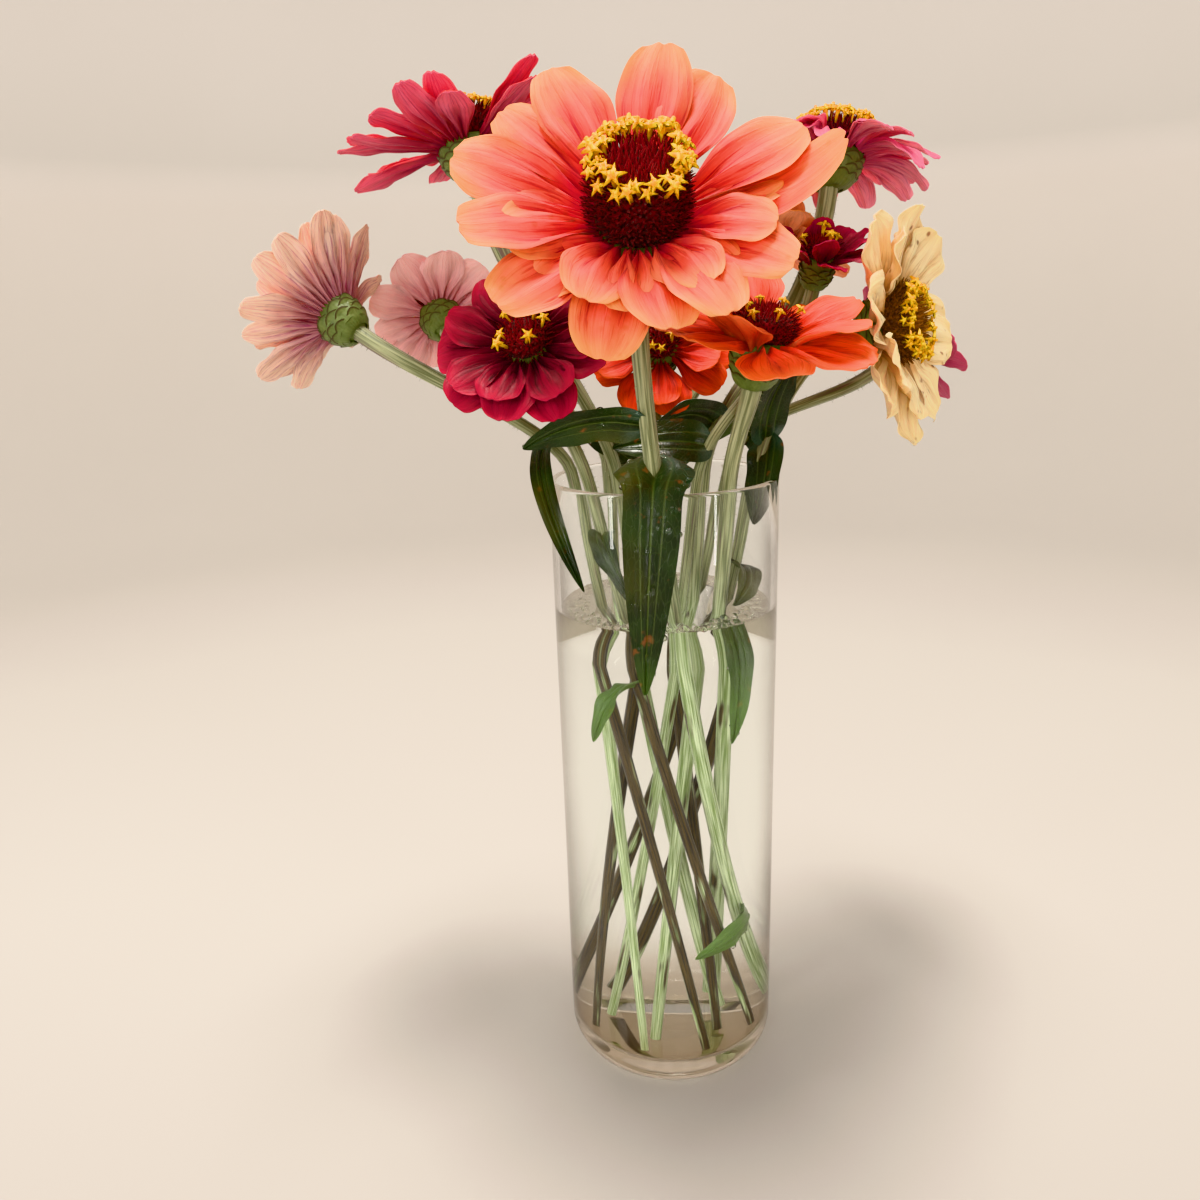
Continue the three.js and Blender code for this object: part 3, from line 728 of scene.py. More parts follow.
def petal_tree():
    sizes = {"Thickness": 0.55, "Fold": 0.85, "Ripple": 0.5, "Notch": 0.02, "Lump": 0.8}
    tree, roots, given, finish = new_tree("Fan of petals", {**sizes, "Hub Height": HUB_HEIGHT})
    shape = real_copies(on_points(roots, sheet_of(tree, 17, 23)))
    x, y, side = point_place(tree).parts()
    shape = set_aside(shape, "petal", arrow(tree, x, y, side), "FLOAT_VECTOR")
    turn, start, fall, reach, half, cup, root, own, roll, sway, curl = (
        recall(tree, name)
        for name in ("turn", "start", "fall", "reach", "half", "cup", "root", "own", "roll", "sway", "curl")
    )
    along = 1 - (1 - y) ** 1.35
    edge = x * x
    late = along.ease(0.7, 1.0)
    notch = (edge * -14).exponent() * given["Notch"]
    along = along * (1 - late * (edge * 0.045 + notch))
    beyond = (along - WIDEST).above(0) / TAPER
    grown = along.ease(0, WIDEST) * (1 - ROOT_WIDTH) + ROOT_WIDTH
    width = half * grown * (1 - beyond * beyond).above(0.05).root() * x
    bent = x + (own - 0.5) * 0.6 * along
    folds = (bent * FOLD_RATE + own * 6).cos() * given["Fold"] * (1 - along.ease(0.3, 0.95) * 0.85)
    folds = folds * (half / USUAL_HALF)
    fine_folds = (bent * FINE_FOLD_RATE + own * 11).cos() * given["Fold"] * 0.3
    folds = folds + fine_folds * (1 - along.ease(0.1, 0.8))
    ripple = (along * RIPPLE_RATE + own * 20 + x * 2).sin() * edge * along.ease(0.25, 0.8) * given["Ripple"]
    bulk = (1 - edge * 0.75) * given["Thickness"] * 0.5 * side
    drape = (width * width + 1).root() * cup * (1 - along * 1.1)
    spot = arrow(tree, width * 0.08 + own * 31, along * reach * 0.05, own * 17)
    lump = (noise(spot, 1.0, 1.0) - 0.5) * given["Lump"] * along * 3
    tip = ((along - CURL_FROM).above(0) / (1 - CURL_FROM)) ** 2.0
    rise = bulk + drape + folds + ripple + lump + width * roll * along + curl * tip
    slope = start - fall * along
    away = root + reach * (start.sin() - slope.sin()) / fall - rise * slope.sin()
    high = given["Hub Height"] * 0.5 + reach * (slope.cos() - start.cos()) / fall + rise * slope.cos()
    outward = arrow(tree, turn.cos(), turn.sin(), 0.0)
    sideways = arrow(tree, turn.sin(), turn.cos() * -1, 0.0)
    aside = width + along * along * reach * sway
    where = outward * away + sideways * aside + arrow(tree, 0.0, 0.0, high)
    return end_tree(soften(place_points(shape, where)), finish)


petals_tree = petal_tree()
print(len(petals_tree.nodes), "nodes in the tree of a fan")

# %% [markdown]
# ## The finish of the petals
# Up close a petal is a soft matt skin: its colour warms towards the tip, darker veins run along it, and
# light comes through it. Shade is painted into the valleys of its folds. Its back is paler and greyer. Old
# petals carry brown specks. The tree has left each point its place on its petal, so the veins and the
# painted shade follow the petal however it bends.
# No two petals of a real bloom are alike, so each one strays a little from the measures of its layer.

# %% Petal finish
STRIPE_RATE, CREASE_SHADE_RATE, USUAL_RIBS, DARKENED_HALF = 26, 7.5, 0.65, 0.42


def petal_finish(name, zinnia):
    glowing = dict(Subsurface_Weight=0.22, Subsurface_Scale=0.002, Subsurface_Radius=(1.0, 0.4, 0.3))
    matt = dict(Sheen_Weight=0.05, Sheen_Roughness=0.4, Specular_IOR_Level=0.25)
    material, tree, shader = new_finish(name + "_petal", **glowing, **matt)
    x, y, side = left_place(tree).parts()
    own = left_value(tree, "own")
    place = own_place(tree)
    cloud = noise(place, 180.0, 3.0) - 0.5
    grown = y + cloud * 0.35 + own * 0.06
    front = blend(grown.ease(0.0, 0.5), shade(*zinnia["base"]), shade(*zinnia["middle"]))
    front = blend((grown + x * x * 0.2).ease(0.45, 1.1), front, shade(*zinnia["tip"]))
    vein_place = arrow(tree, x * 3.2 + own * 9, y * 0.7, own * 5)
    veins = noise(vein_place, 4.0, 3.0)
    stripes = ((x * STRIPE_RATE + (veins - 0.5) * 16 + own * 4).cos() * 0.5 + 0.5) ** 2.0
    stripes = stripes * veins.ease(0.3, 0.65)
    # fold is 1 in the valleys between the petal's folds: shade is painted into these creases.
    fold = ((x * CREASE_SHADE_RATE + own * 6).cos() * -0.5 + 0.5) ** 2.0
    # dark is both the colour of the darker veins and the painted shade in the creases.
    dark = tuple(c * 0.55 for c in shade(*zinnia["base"])[:3]) + (1.0,)
    front = blend((fold * 0.5 + stripes * 0.75) * (1 - y.ease(0.2, 1.0) * 0.85), front, dark)
    low_back = shade(*[DARKENED_HALF * (c + d) for c, d in zip(zinnia["back"], zinnia["base"])])
    back = blend((y + cloud * 0.3).ease(0.0, 0.75), low_back, shade(*zinnia["back"]))
    mauve = shade(*[c * f for c, f in zip(zinnia["back"], (0.66, 0.42, 0.62))])
    back = blend(stripes * (zinnia.get("ribs", USUAL_RIBS) - y * 0.5), back, mauve)
    both = blend(side.ease(-0.2, 0.2), back, front)
    lightness = own * 0.1 + veins * 0.5 + 0.76
    colour = result(tree, "ShaderNodeHueSaturation", {"Color": both, "Value": lightness})
    if "specks" in zinnia:
        spots = add_node(tree, "ShaderNodeTexVoronoi", {"Vector": place, "Scale": 260.0})
        few = noise(place, 60.0).ease(0.44, 0.58)
        speck = (1 - Wire(spots.outputs["Distance"]).ease(0.1, 0.3)) * few * zinnia["specks"]
        colour = blend(speck * 0.8, colour, shade(120, 66, 40))
    skin = stripes * 0.6 + noise(place, 1400.0, 2.0) * 0.5
    dress(shader, colour, veins * 0.3 + 0.4, skin, 0.00025, 0.6)
    return material


print("petal finish is ready")

# %% The measures of each petal
TURN_STRAY, LIFT_STRAY, DROOP_STRAY, LENGTH_STRAY, ROLL_STRAY, SWAY_STRAY = 0.22, 4, 5, 0.07, 0.22, 0.05
LIFT_OF_EVERY_OTHER = 5


def petal_rows(zinnia):
    """The measures of every petal of a bloom."""
    upward = bloom_place(zinnia).to_3x3().inverted() @ Vector((0, 0, 1))
    rows = []
    for level, (count, length, half, lift, droop, cup) in enumerate(zinnia["layers"]):
        first, last = zinnia.get("inner", (0, 360)) if level else (0, 360)
        more_lift, more_droop, shorter = zinnia.get("low", [(0, 0, 0)] * 2)[level]
        for number in range(count):
            seed = zinnia["hub"][0] + 31 * level + 7 * number
            share = (number + 0.5 * level + TURN_STRAY * scatter(seed)) / count
            turn = math.radians(first + (last - first) * share)
            up = upward.dot((math.cos(turn), math.sin(turn), 0))
            low = max(-up, 0)
            start = lift + LIFT_STRAY * scatter(seed + 2) + number % 2 * LIFT_OF_EVERY_OTHER
            start += zinnia["sag"] * up + more_lift * low
            fall = droop + DROOP_STRAY * scatter(seed + 3) + more_droop * low
            odd_lift, odd_droop, longer, curl = zinnia.get("odd", {}).get((level, number), (0, 0, 0, 0))
            reach = length * (1 + LENGTH_STRAY * scatter(seed + 1)) * (1 - shorter * low + longer)
            rows.append(
                dict(
                    turn=turn, start=math.radians(start + odd_lift), fall=math.radians(fall + odd_droop),
                    reach=reach, half=half, cup=cup, root=zinnia["disc"][0] + HUB_MARGIN - ROOT_DEPTH,
                    own=0.5 + 0.5 * scatter(seed + 5), roll=ROLL_STRAY * scatter(seed + 6),
                    sway=SWAY_STRAY * scatter(seed + 7),
                    curl=curl + max(scatter(seed + 8) - 0.2, 0) * 0.1 * length,
                )
            )
    return rows


print(len(petal_rows(ZINNIAS["coral"])), "petals in the big bloom")

# %% Petals
for name, zinnia in ZINNIAS.items():
    finish = petal_finish(name, zinnia)
    fan = grow(petals_tree, zinnia.get("petals", {}), finish, points_with(petal_rows(zinnia)))
    made = piece(name + "_fan", fan, name + "_petals", name + "_petals", place=bloom_place(zinnia))
    print(made.name, len(made.data.polygons), "faces")

# %% [markdown]
# ## The cone of chaff
# Between the florets of a zinnia stand stiff pointed bracts, packed in the spirals of a sunflower. They
# cover a cone whose top they close. One tree sets them by the golden angle, first over the top and then
# down the flank, and leans each outwards. The cone below is turned, a little smaller, so that no gap shows
# through.

# %% The tree of the chaff
GOLDEN_ANGLE = 2.39996


def chaff_tree():
    sizes = {"Count": 200, "Radius": 12.0, "Height": 17.0, "Bract": 4.0, "Top Share": 0.35}
    tree, _, given, finish = new_tree("Cone of chaff", {**sizes, "Lean": 0.7, "Seed": 1})
    number = point_number(tree)
    share = (number + 0.5) / given["Count"]
    top = (share / given["Top Share"]).below(1)
    flank = ((share - given["Top Share"]) / (1 - given["Top Share"])).above(0)
    angle = number * GOLDEN_ANGLE
    radius = given["Radius"] * (top.root() * 0.88 + flank.ease(0, 0.5) * 0.1)
    height = given["Height"] * (1 - top * top * 0.1 - flank * 0.88)
    outward = arrow(tree, angle.cos(), angle.sin(), 0.0)
    where = outward * radius + arrow(tree, 0.0, 0.0, height)
    points = place_points(loose_points(tree, given["Count"]), where)
    points = set_aside(points, "crest", 1 - top.ease(0.3, 0.9))
    lean = top.ease(0.3, 1.0) * given["Lean"] + flank.ease(0, 0.6) * 0.25
    disorder = {0: (-0.35, -0.35, -0.1), 1: (0.35, 0.35, 0.25), "Seed": given["Seed"]}
    shake = add_node(tree, "FunctionNodeRandomValue", disorder, data_type="FLOAT_VECTOR")
    facing = (outward * lean + arrow(tree, 0.0, 0.0, 1.0 - lean * 0.6) + Arrow(shake.outputs["Value"])).unit()
    turned_to = add_node(tree, "FunctionNodeAlignRotationToVector", {"Vector": facing}, axis="Z")
    cone = {"Vertices": 5, "Side Segments": 2, "Radius Top": 0.03, "Radius Bottom": 0.13, "Depth": 1.0}
    bract = result(tree, "GeometryNodeMeshCone", cone, output="Mesh")
    size = arrow(tree, 1.0, 1.0, 1.0) * (given["Bract"] * random_value(0.75, 1.15, given["Seed"]))
    return end_tree(on_points(points, bract, Wire(turned_to.outputs[0]), size), finish)


def chaff_finish(name, deep, light):
    """Dry dark bracts with a velvety sheen."""
    material, tree, shader = new_finish(name, Roughness=0.8, Sheen_Weight=0.1, Specular_IOR_Level=0.25)
    grain = noise(own_place(tree), 900.0, 3.0)
    lit = grain.ease(0.35, 0.68) * 0.7 + left_value(tree, "crest") * 0.6
    dress(shader, blend(lit, shade(*deep), shade(*light)), grain * 0.3 + 0.6, grain, 0.0003, 0.7)
    return material


chaff_grower = chaff_tree()
dark_chaff = chaff_finish("maroon_chaff", (34, 3, 6), (150, 20, 30))
gold_chaff = chaff_finish("golden_chaff", (72, 36, 14), (156, 96, 34))
print(len(chaff_grower.nodes), "nodes in the tree of the chaff")

# %% Cones
BRACTS_PER_AREA = 1.5
BIG_BRACT, SMALL_BRACT, BIG_CONE = 3.2, 2.6, 9


def cone_profile(radius, height):
    shares = [(0, 0), (0.9, 0), (0.93, 0.4), (0.88, 0.75), (0.7, 0.9), (0, 0.95)]
    return [(across * radius, up * height) for across, up in shares]


for name, zinnia in ZINNIAS.items():
    radius, height = zinnia["disc"]
    finish = gold_chaff if name == "cream" else dark_chaff
    area = radius * radius + 2 * radius * height
    values = {
        "Count": int(BRACTS_PER_AREA * area), "Radius": float(radius), "Height": float(height),
        "Bract": BIG_BRACT if radius > BIG_CONE else SMALL_BRACT, "Top Share": radius * radius / area,
        "Seed": int(radius * 10),
    }
    whole = join([grow(chaff_grower, values, finish), turned(cone_profile(radius, height), 32, finish)])
    made = piece(name + "_cone", whole, "disc", name + "_disc", place=bloom_place(zinnia, HUB_HEIGHT + GAP))
    print(made.name, values["Count"], "bracts")

# %% [markdown]
# ## The yellow stars
# The true flowers of a zinnia are tiny yellow stars of five curled lobes on a slim tube. They open in a
# ring around the top of the cone. A star is a turned tube whose every other corner is drawn in, so it needs
# few faces, and a tree sets two staggered rings of them with some disorder.

# %% One star
def star_mesh():
    """One star of unit height: a tube that opens into five lobes, curled back at their tips.

    A row holds a radius, how deep the notches between the lobes are there, and a height.
    """
    rows = [
        (0, 0, 0), (0.09, 0, 0), (0.11, 0, 0.5), (0.17, 0.1, 0.76), (0.34, 0.6, 0.92),
        (0.48, 1.0, 0.78), (0.55, 1.1, 0.8), (0.44, 0.95, 0.92), (0.26, 0.4, 0.98),
        (0.11, 0.1, 0.85), (0.08, 0, 1.1), (0, 0, 1.14),
    ]
    mesh = turned([(radius, height) for radius, _, height in rows], 10, None)
    for vertex in mesh.vertices:
        radius = math.hypot(vertex.co.x, vertex.co.y)
        if radius < 1e-6:
            continue
        row = min(rows, key=lambda r: abs(r[0] - radius) + abs(r[2] - vertex.co.z))
        corner = round(math.atan2(vertex.co.y, vertex.co.x) / (math.pi / 5))
        if corner % 2:
            drawn_in = 1 - 0.7 * row[1]
            vertex.co.x *= drawn_in
            vertex.co.y *= drawn_in
    return mesh


star = bpy.data.objects.new("star", star_mesh())
print(len(star.data.polygons), "faces in a star")

# %% The tree of the stars
def star_tree(star):
    sizes = {"Count": 24, "Radius": 10.0, "Level": 16.0, "Size": 4.0, "Lean": 0.5, "Spread": 1.6, "Seed": 1}
    tree, _, given, finish = new_tree("Ring of stars", sizes)
    number = point_number(tree)
    inner = number.math("MODULO", 2.0)
    upright = arrow(tree, 0.0, 0.0, 1.0)

    def disorder(low, high, shift):
        return random_value(low, high, given["Seed"] + shift)

    angle = (number + disorder(-0.35, 0.35, 1)) / given["Count"] * (2 * math.pi)
    radius = given["Radius"] - inner * given["Spread"] + disorder(-0.4, 0.4, 2)
    level = given["Level"] + inner * 0.7 + disorder(-0.5, 0.5, 3)
    outward = arrow(tree, angle.cos(), angle.sin(), 0.0)
    points = place_points(loose_points(tree, given["Count"]), outward * radius + upright * level)
    lean = given["Lean"] * (1 - inner * 0.5) + disorder(-0.2, 0.25, 4)
    aside = arrow(tree, angle.sin() * -1, angle.cos(), 0.0) * disorder(-0.3, 0.3, 5)
    facing = (outward * lean + aside + upright).unit()
    tilt = add_node(tree, "FunctionNodeAlignRotationToVector", {"Vector": facing}, axis="Z")
    spin = add_node(tree, "FunctionNodeRotateRotation", rotation_space="LOCAL")
    tree.links.new(tilt.outputs[0], spin.inputs[0])
    tree.links.new(arrow(tree, 0.0, 0.0, disorder(0.0, 1.2, 6)).socket, spin.inputs[1])
    shape = result(tree, "GeometryNodeObjectInfo", {"Object": star}, output="Geometry")
    size = arrow(tree, 1.0, 1.0, 1.0) * (given["Size"] * disorder(0.75, 1.2, 7))
    return end_tree(on_points(points, shape, Wire(spin.outputs[0]), size), finish)


stars_tree = star_tree(star)
print(len(stars_tree.nodes), "nodes in the tree of the stars")

# %% Pollen
pollen, pollen_tree, pollen_shader = new_finish("pollen_yellow", Roughness=0.5)
pollen_grain = noise(own_place(pollen_tree), 700.0, 3.0)
pollen_colour = blend(pollen_grain.ease(0.35, 0.65), shade(246, 168, 26), shade(255, 220, 70))
dress(pollen_shader, pollen_colour, pollen_grain * 0.4 + 0.35, pollen_grain, 0.0002, 0.5)
print("pollen is yellow")

# %% Stars
BIG_STAR, SMALL_STAR, WIDE_CONE = 5.8, 4.2, 11.5
RING_OUT, RING_UP, RING_SPREAD = 0.9, 0.83, 0.14
for name, zinnia in ZINNIAS.items():
    radius, height = zinnia["disc"]
    count = zinnia["florets"] * 2
    values = {
        "Count": count, "Radius": RING_OUT * radius, "Level": RING_UP * height,
        "Spread": RING_SPREAD * radius, "Size": BIG_STAR if radius > WIDE_CONE else SMALL_STAR,
        "Seed": int(radius * 7) + count,
    }
    top = bloom_place(zinnia, HUB_HEIGHT + GAP)
    made = piece(name + "_stars", grow(stars_tree, values, pollen), "florets", name + "_florets", place=top)
    print(made.name, count, "stars")
bpy.data.objects.remove(star)

# %% [markdown]
# ## The green cups
# Under the petals sits a cup of blunt green scales with dark dry rims, in rows that overlap like roof
# tiles. One tree lays them round the cup by their number, half a tile further in each row. The body of the
# cup is turned, and its top holds the roots of the petals.

# %% The tree of the scales
SCALE_ROWS, SCALE_LENGTH, CUP_STRETCH = 4, 0.4, 1.12


def scale_tree():
    sizes = {"Rows": SCALE_ROWS, "Each Row": 9, "Radius": 10.0, "Height": 9.0, "Stem": 3.0}
    tree, _, given, finish = new_tree("Scales of a cup", {**sizes, "Thickness": 0.5})
    seats = loose_points(tree, given["Rows"] * given["Each Row"])
    seats = set_aside(seats, "seat", point_number(tree))
    shape = real_copies(on_points(seats, sheet_of(tree, 7, 8)))
    x, y, side = point_place(tree).parts()
    shape = set_aside(shape, "petal", arrow(tree, x, y, side), "FLOAT_VECTOR")
    seat = recall(tree, "seat")
    row = (seat / given["Each Row"] + 0.001).floor()
    step = (seat - row * given["Each Row"]) + row * 0.5 + (seat * 2.1).sin() * 0.1
    angle = step / given["Each Row"] * (2 * math.pi)
    level = (row / given["Rows"] * 0.72 + 0.03 + (seat * 3.7).sin() * 0.02) * given["Height"]
    length = given["Height"] * SCALE_LENGTH
    along = y * (1 - x * x * 0.12)
    height = level + length * along
    up = (height / given["Height"]).below(1).above(0)
    throat = given["Stem"] * 1.15
    radius = throat + (given["Radius"] - throat) * (1 - (1 - up) ** 2.0).above(0).root()
    bulge = (1 - x * x) * 0.35 * (1 - y) + y.ease(0.6, 1.0) * 0.7
    out = radius + bulge + given["Thickness"] * 0.5 * side * (1 - x * x * 0.6)
    wide = (1 - y ** 3.0 * 0.8).root() * 1.25 * math.pi
    turn = angle + x * wide / given["Each Row"]
    where = arrow(tree, turn.cos() * out, turn.sin() * out, height * CUP_STRETCH - given["Height"])
    return end_tree(soften(place_points(shape, where)), finish)


scales_tree = scale_tree()
print(len(scales_tree.nodes), "nodes in the tree of the scales")

# %% The finish of the scales
scale_finish, tree, shader = new_finish("cup_green", Roughness=0.5)
x, y, side = left_place(tree).parts()
grain = noise(own_place(tree), 500.0, 3.0)
rim = (y + x * x * 0.18 + grain * 0.12).ease(0.86, 1.02)
green = blend(grain, shade(62, 82, 38), shade(132, 146, 86))
green = blend(((x * 16).cos() * 0.5 + 0.5) * 0.25, green, shade(86, 104, 50))
rimmed = blend(rim * 0.85, green, shade(62, 40, 26))
dress(shader, rimmed, grain * 0.4 + 0.3, (x * 16).cos() * 0.3 + grain, 0.0002, 0.5)
print("scales are green with a dark rim")

# %% Cups
for name, zinnia in ZINNIAS.items():
    radius, height = zinnia["cup"]
    thin = zinnia["stem"][0]
    profile = [
        (0, -height - 0.8), (thin * 1.05, -height), (0.6 * radius, -0.8 * height),
        (0.8 * radius, -0.5 * height), (0.92 * radius, 0), (0.95 * radius, 1.6), (0.85 * radius, 2.8),
        (0, HUB_HEIGHT),
    ]
    each_row = max(7, round(0.9 * radius))
    values = {"Each Row": each_row, "Radius": radius * 0.93, "Height": float(height), "Stem": float(thin)}
    whole = join([grow(scales_tree, values, scale_finish), turned(profile, 24, scale_finish)])
    made = piece(name + "_cup", whole, "green", place=bloom_place(zinnia))
    print(made.name, SCALE_ROWS * each_row, "scales")

# %% [markdown]
# ## Stems
# A zinnia's stem is a ribbed, bristly tube that swells into the cup. In the glass each one leans straight
# from its foot on the floor to the lip, and above it sweeps out to its bloom. A tree turns that line into a
# tube, presses ribs into it and sets the short stiff hairs that catch the light.
# The stems stand in two rings. A ring has how far a stem turns round the glass on its way down, in degrees,
# and its distance from the axis at the lip and on the floor.

# %% The line of a stem
RINGS = {"outer": (120, 30.5, 25.5), "inner": (-136, 15.5, 15.5)}
SLIMMER, FOOT_SHARE, NECK_SWELL, SWELL_FROM = 0.93, 0.7, 0.3, 0.4
STRAIGHT_STEPS, SWEEP_STEPS = 14, 24


def around(radius, degrees, height):
    angle = math.radians(degrees)
    return Vector((radius * math.cos(angle), radius * math.sin(angle), height))


def stem_line(zinnia):
    """The points of a stem's middle, and its radius at each."""
    radius, ring, angle, start, end = zinnia["stem"]
    twist, lip_radius, foot_radius = RINGS[ring]
    bottom = around(foot_radius, angle + twist, GLASS_FLOOR + GAP)
    crossing = around(lip_radius, angle, GLASS_HEIGHT)
    straight = (crossing - bottom).normalized()
    facing = Vector(zinnia["facing"]).normalized()
    top = Vector(zinnia["hub"]) + facing * (1 - zinnia["cup"][1])
    span = (top - crossing).length
    a, b, c, d = crossing, crossing + straight * start * span, top - facing * end * span, top
    radius *= SLIMMER
    line = []
    for i in range(STRAIGHT_STEPS):
        t = i / STRAIGHT_STEPS
        line.append((bottom.lerp(crossing, t), radius * (FOOT_SHARE + (1 - FOOT_SHARE) * t)))
    for i in range(SWEEP_STEPS + 1):
        t = i / SWEEP_STEPS
        point = a * (1 - t) ** 3 + b * 3 * t * (1 - t) ** 2 + c * 3 * t * t * (1 - t) + d * t ** 3
        swell = max(t - SWELL_FROM, 0) / (1 - SWELL_FROM)
        line.append((point, radius * (1 + NECK_SWELL * swell * swell * (3 - 2 * swell))))
    return line


def line_curve(line):
    curve = bpy.data.curves.new("line", "CURVE")
    curve.dimensions = "3D"
    spline = curve.splines.new("POLY")
    spline.points.add(len(line) - 1)
    for point, (place, radius) in zip(spline.points, line):
        point.co = (*place, 1)
        point.radius = radius
    return curve


print("stems stand in", len(RINGS), "rings")

# %% The tree of a stem
TUBE_CORNERS, TUBE_RINGS = 36, 90


def stem_tree():
    sizes = {"Ribs": 9.0, "Rib Depth": 0.035, "Hairs": 0.22, "Hair Length": 1.1, "Bare Below": 176.0}
    tree, line, given, finish = new_tree("Ribbed stem", {**sizes, "Pale": 0.5, "Seed": 3})
    circle = {"Resolution": TUBE_CORNERS, "Radius": 1.0}
    ring = result(tree, "GeometryNodeCurvePrimitiveCircle", circle)
    angle = point_number(tree) * (2 * math.pi / TUBE_CORNERS)
    ring = set_aside(ring, "angle_x", angle.cos())
    ring = set_aside(ring, "angle_y", angle.sin())
    ribbed = (angle * given["Ribs"]).cos() * given["Rib Depth"] + 1
    ring = place_points(ring, point_place(tree) * ribbed)
    fine = result(tree, "GeometryNodeResampleCurve", {"Curve": line, "Count": TUBE_RINGS})
    length = result(tree, "GeometryNodeSplineParameter", output="Length")
    fine = set_aside(fine, "reached", length)
    thick = result(tree, "GeometryNodeInputRadius")
    sweep = {"Curve": fine, "Profile Curve": ring, "Scale": thick, "Fill Caps": True}
    tube = result(tree, "GeometryNodeCurveToMesh", sweep)
    tube = set_aside(soften(tube, 0.7), "pale", given["Pale"])
    dry = point_place(tree).parts()[2].beyond(given["Bare Below"])
    points, turn = strewn(tube, given["Hairs"], given["Seed"], dry)
    cone = {"Vertices": 3, "Radius Top": 0.02, "Radius Bottom": 0.07, "Depth": 1.0}
    hair = result(tree, "GeometryNodeMeshCone", cone, output="Mesh")
    size = arrow(tree, 1.0, 1.0, given["Hair Length"] * random_value(0.5, 1.0, given["Seed"]))
    hairs = on_points(points, hair, turn, size)
    both = add_node(tree, "GeometryNodeJoinGeometry")
    tree.links.new(hairs.socket, both.inputs[0])
    tree.links.new(tube.socket, both.inputs[0])
    return end_tree(Wire(both.outputs[0]), finish)


stems_tree = stem_tree()
print(len(stems_tree.nodes), "nodes in the tree of a stem")

# %% [markdown]
# ## The green finishes
# Stems are pale green with long lighter and darker bands, partly their own streaks and partly painted shade
# and highlight along their ribs, and a purple flush here and there, stronger under water. A leaf is dark and
# leathery on top with three pale veins from its root and a painted blue-grey sheen on its ears, and it rusts
# in spots.

# %% The finish of the stems
# Heights in metres, below and above the level of the water.
STEM_WET_BELOW, STEM_DRY_ABOVE = 0.155, 0.19
stem_finish, tree, shader = new_finish("stem_green", Roughness=0.55, Sheen_Weight=0.3)
place = own_place(tree)
angle_x, angle_y, reached, pale = (
    left_value(tree, name) for name in ("angle_x", "angle_y", "reached", "pale")
)
# These long bands are partly the stem's own streaks and partly painted shade and highlight along its ribs.
streaks_and_painted_shade = noise(arrow(tree, angle_x, angle_y, reached * 0.015), 4.5, 1.5)
flush = noise(arrow(tree, angle_x * 0.4 + pale * 9, angle_y * 0.4, reached * 0.03), 1.3, 2.0)
green = blend(streaks_and_painted_shade.ease(0.3, 0.7), shade(100, 108, 70), shade(174, 178, 136))
streak = noise(arrow(tree, angle_x, angle_y, reached * 0.01), 3.0, 2.0).ease(0.5, 0.62)
green = blend(flush.ease(0.46, 0.66) * streak * 0.7, green, shade(100, 66, 76))
pale_green = blend(streaks_and_painted_shade.ease(0.3, 0.7), shade(122, 146, 76), shade(222, 234, 190))
purple = blend(streaks_and_painted_shade.ease(0.3, 0.7), shade(16, 4, 10), shade(92, 74, 30))
wet = blend((pale + (flush - 0.5) * 2.2).ease(0.35, 0.6), purple, pale_green)
under_water = 1 - place.parts()[2].ease(STEM_WET_BELOW, STEM_DRY_ABOVE)
dress(shader, blend(under_water, green, wet), streaks_and_painted_shade * 0.4 + 0.35, streaks_and_painted_shade, 0.0003, 0.6)
print("stems are pale or purple under water")

# %% The finish of the leaves
SIDE_VEIN, LEAF_WET_BELOW, LEAF_DRY_ABOVE = 0.46, 0.14, 0.17
leaf_finish, tree, shader = new_finish("leaf_green", Coat_Weight=0.35, Coat_Roughness=0.25)
x, y, side = left_place(tree).parts()
place = own_place(tree)
grain = noise(place, 420.0, 4.0)
patch = noise(place, 70.0, 2.0)
cells = {"Vector": arrow(tree, x * 2.2, y * 9, 0.0), "Scale": 2.6}
web = add_node(tree, "ShaderNodeTexVoronoi", cells, feature="DISTANCE_TO_EDGE")
web = 1 - Wire(web.outputs[0]).ease(0.0, 0.09)
spread = (x / (1.02 - y * 0.35)).size()
vein = (1 - x.size().ease(0.0, 0.07)) + (1 - (spread - SIDE_VEIN).size().ease(0.0, 0.07)) * 0.7
green = blend(patch.ease(0.35, 0.65), shade(15, 33, 13), shade(34, 56, 24))
green = blend(side.ease(-0.2, 0.2), shade(84, 106, 58), green)
green = blend(web * 0.14, green, shade(86, 110, 56))
green = blend(vein.below(1) * 0.4, green, shade(120, 140, 80))
# The ears near the root are painted blue-grey: a painted sheen.
green = blend((1 - y.ease(0.1, 0.28)) * x.size().ease(0.15, 0.5) * 0.4, green, shade(104, 130, 120))
rust = (1 - noise(place, 240.0, 2.0).ease(0.26, 0.36)) * patch.ease(0.4, 0.55)
green = blend(rust * 0.8, green, shade(134, 78, 40))
node = (1 - y.ease(0.02, 0.1)) * (1 - x.size().ease(0.1, 0.4))
green = blend(node * 0.85, green, shade(64, 24, 40))
wet = 1 - place.parts()[2].ease(LEAF_WET_BELOW, LEAF_DRY_ABOVE)
green = blend(wet * 0.6, green, shade(104, 146, 54))
yellowed = noise(place, 30.0, 1.0).ease(0.52, 0.7) * 0.35
green = blend(yellowed, green, shade(110, 112, 40))
dress(shader, green, grain * 0.3 + 0.25, grain * 0.3 - vein * 0.8 - web * 0.4, 0.0004, 0.7)
print("leaves are dark with pale veins")

# %% [markdown]
# ## Leaves
# Zinnia leaves have no stalk. They clasp the stem, broad at the root and drawn out to a point. A tree bends
# a thin slab along its midrib, folds its halves up, sinks its veins and lets its edges wave.
# A leaf has the root, the turn and the tip of its midrib, the way across it, half its width, and how far
# its halves fold up.

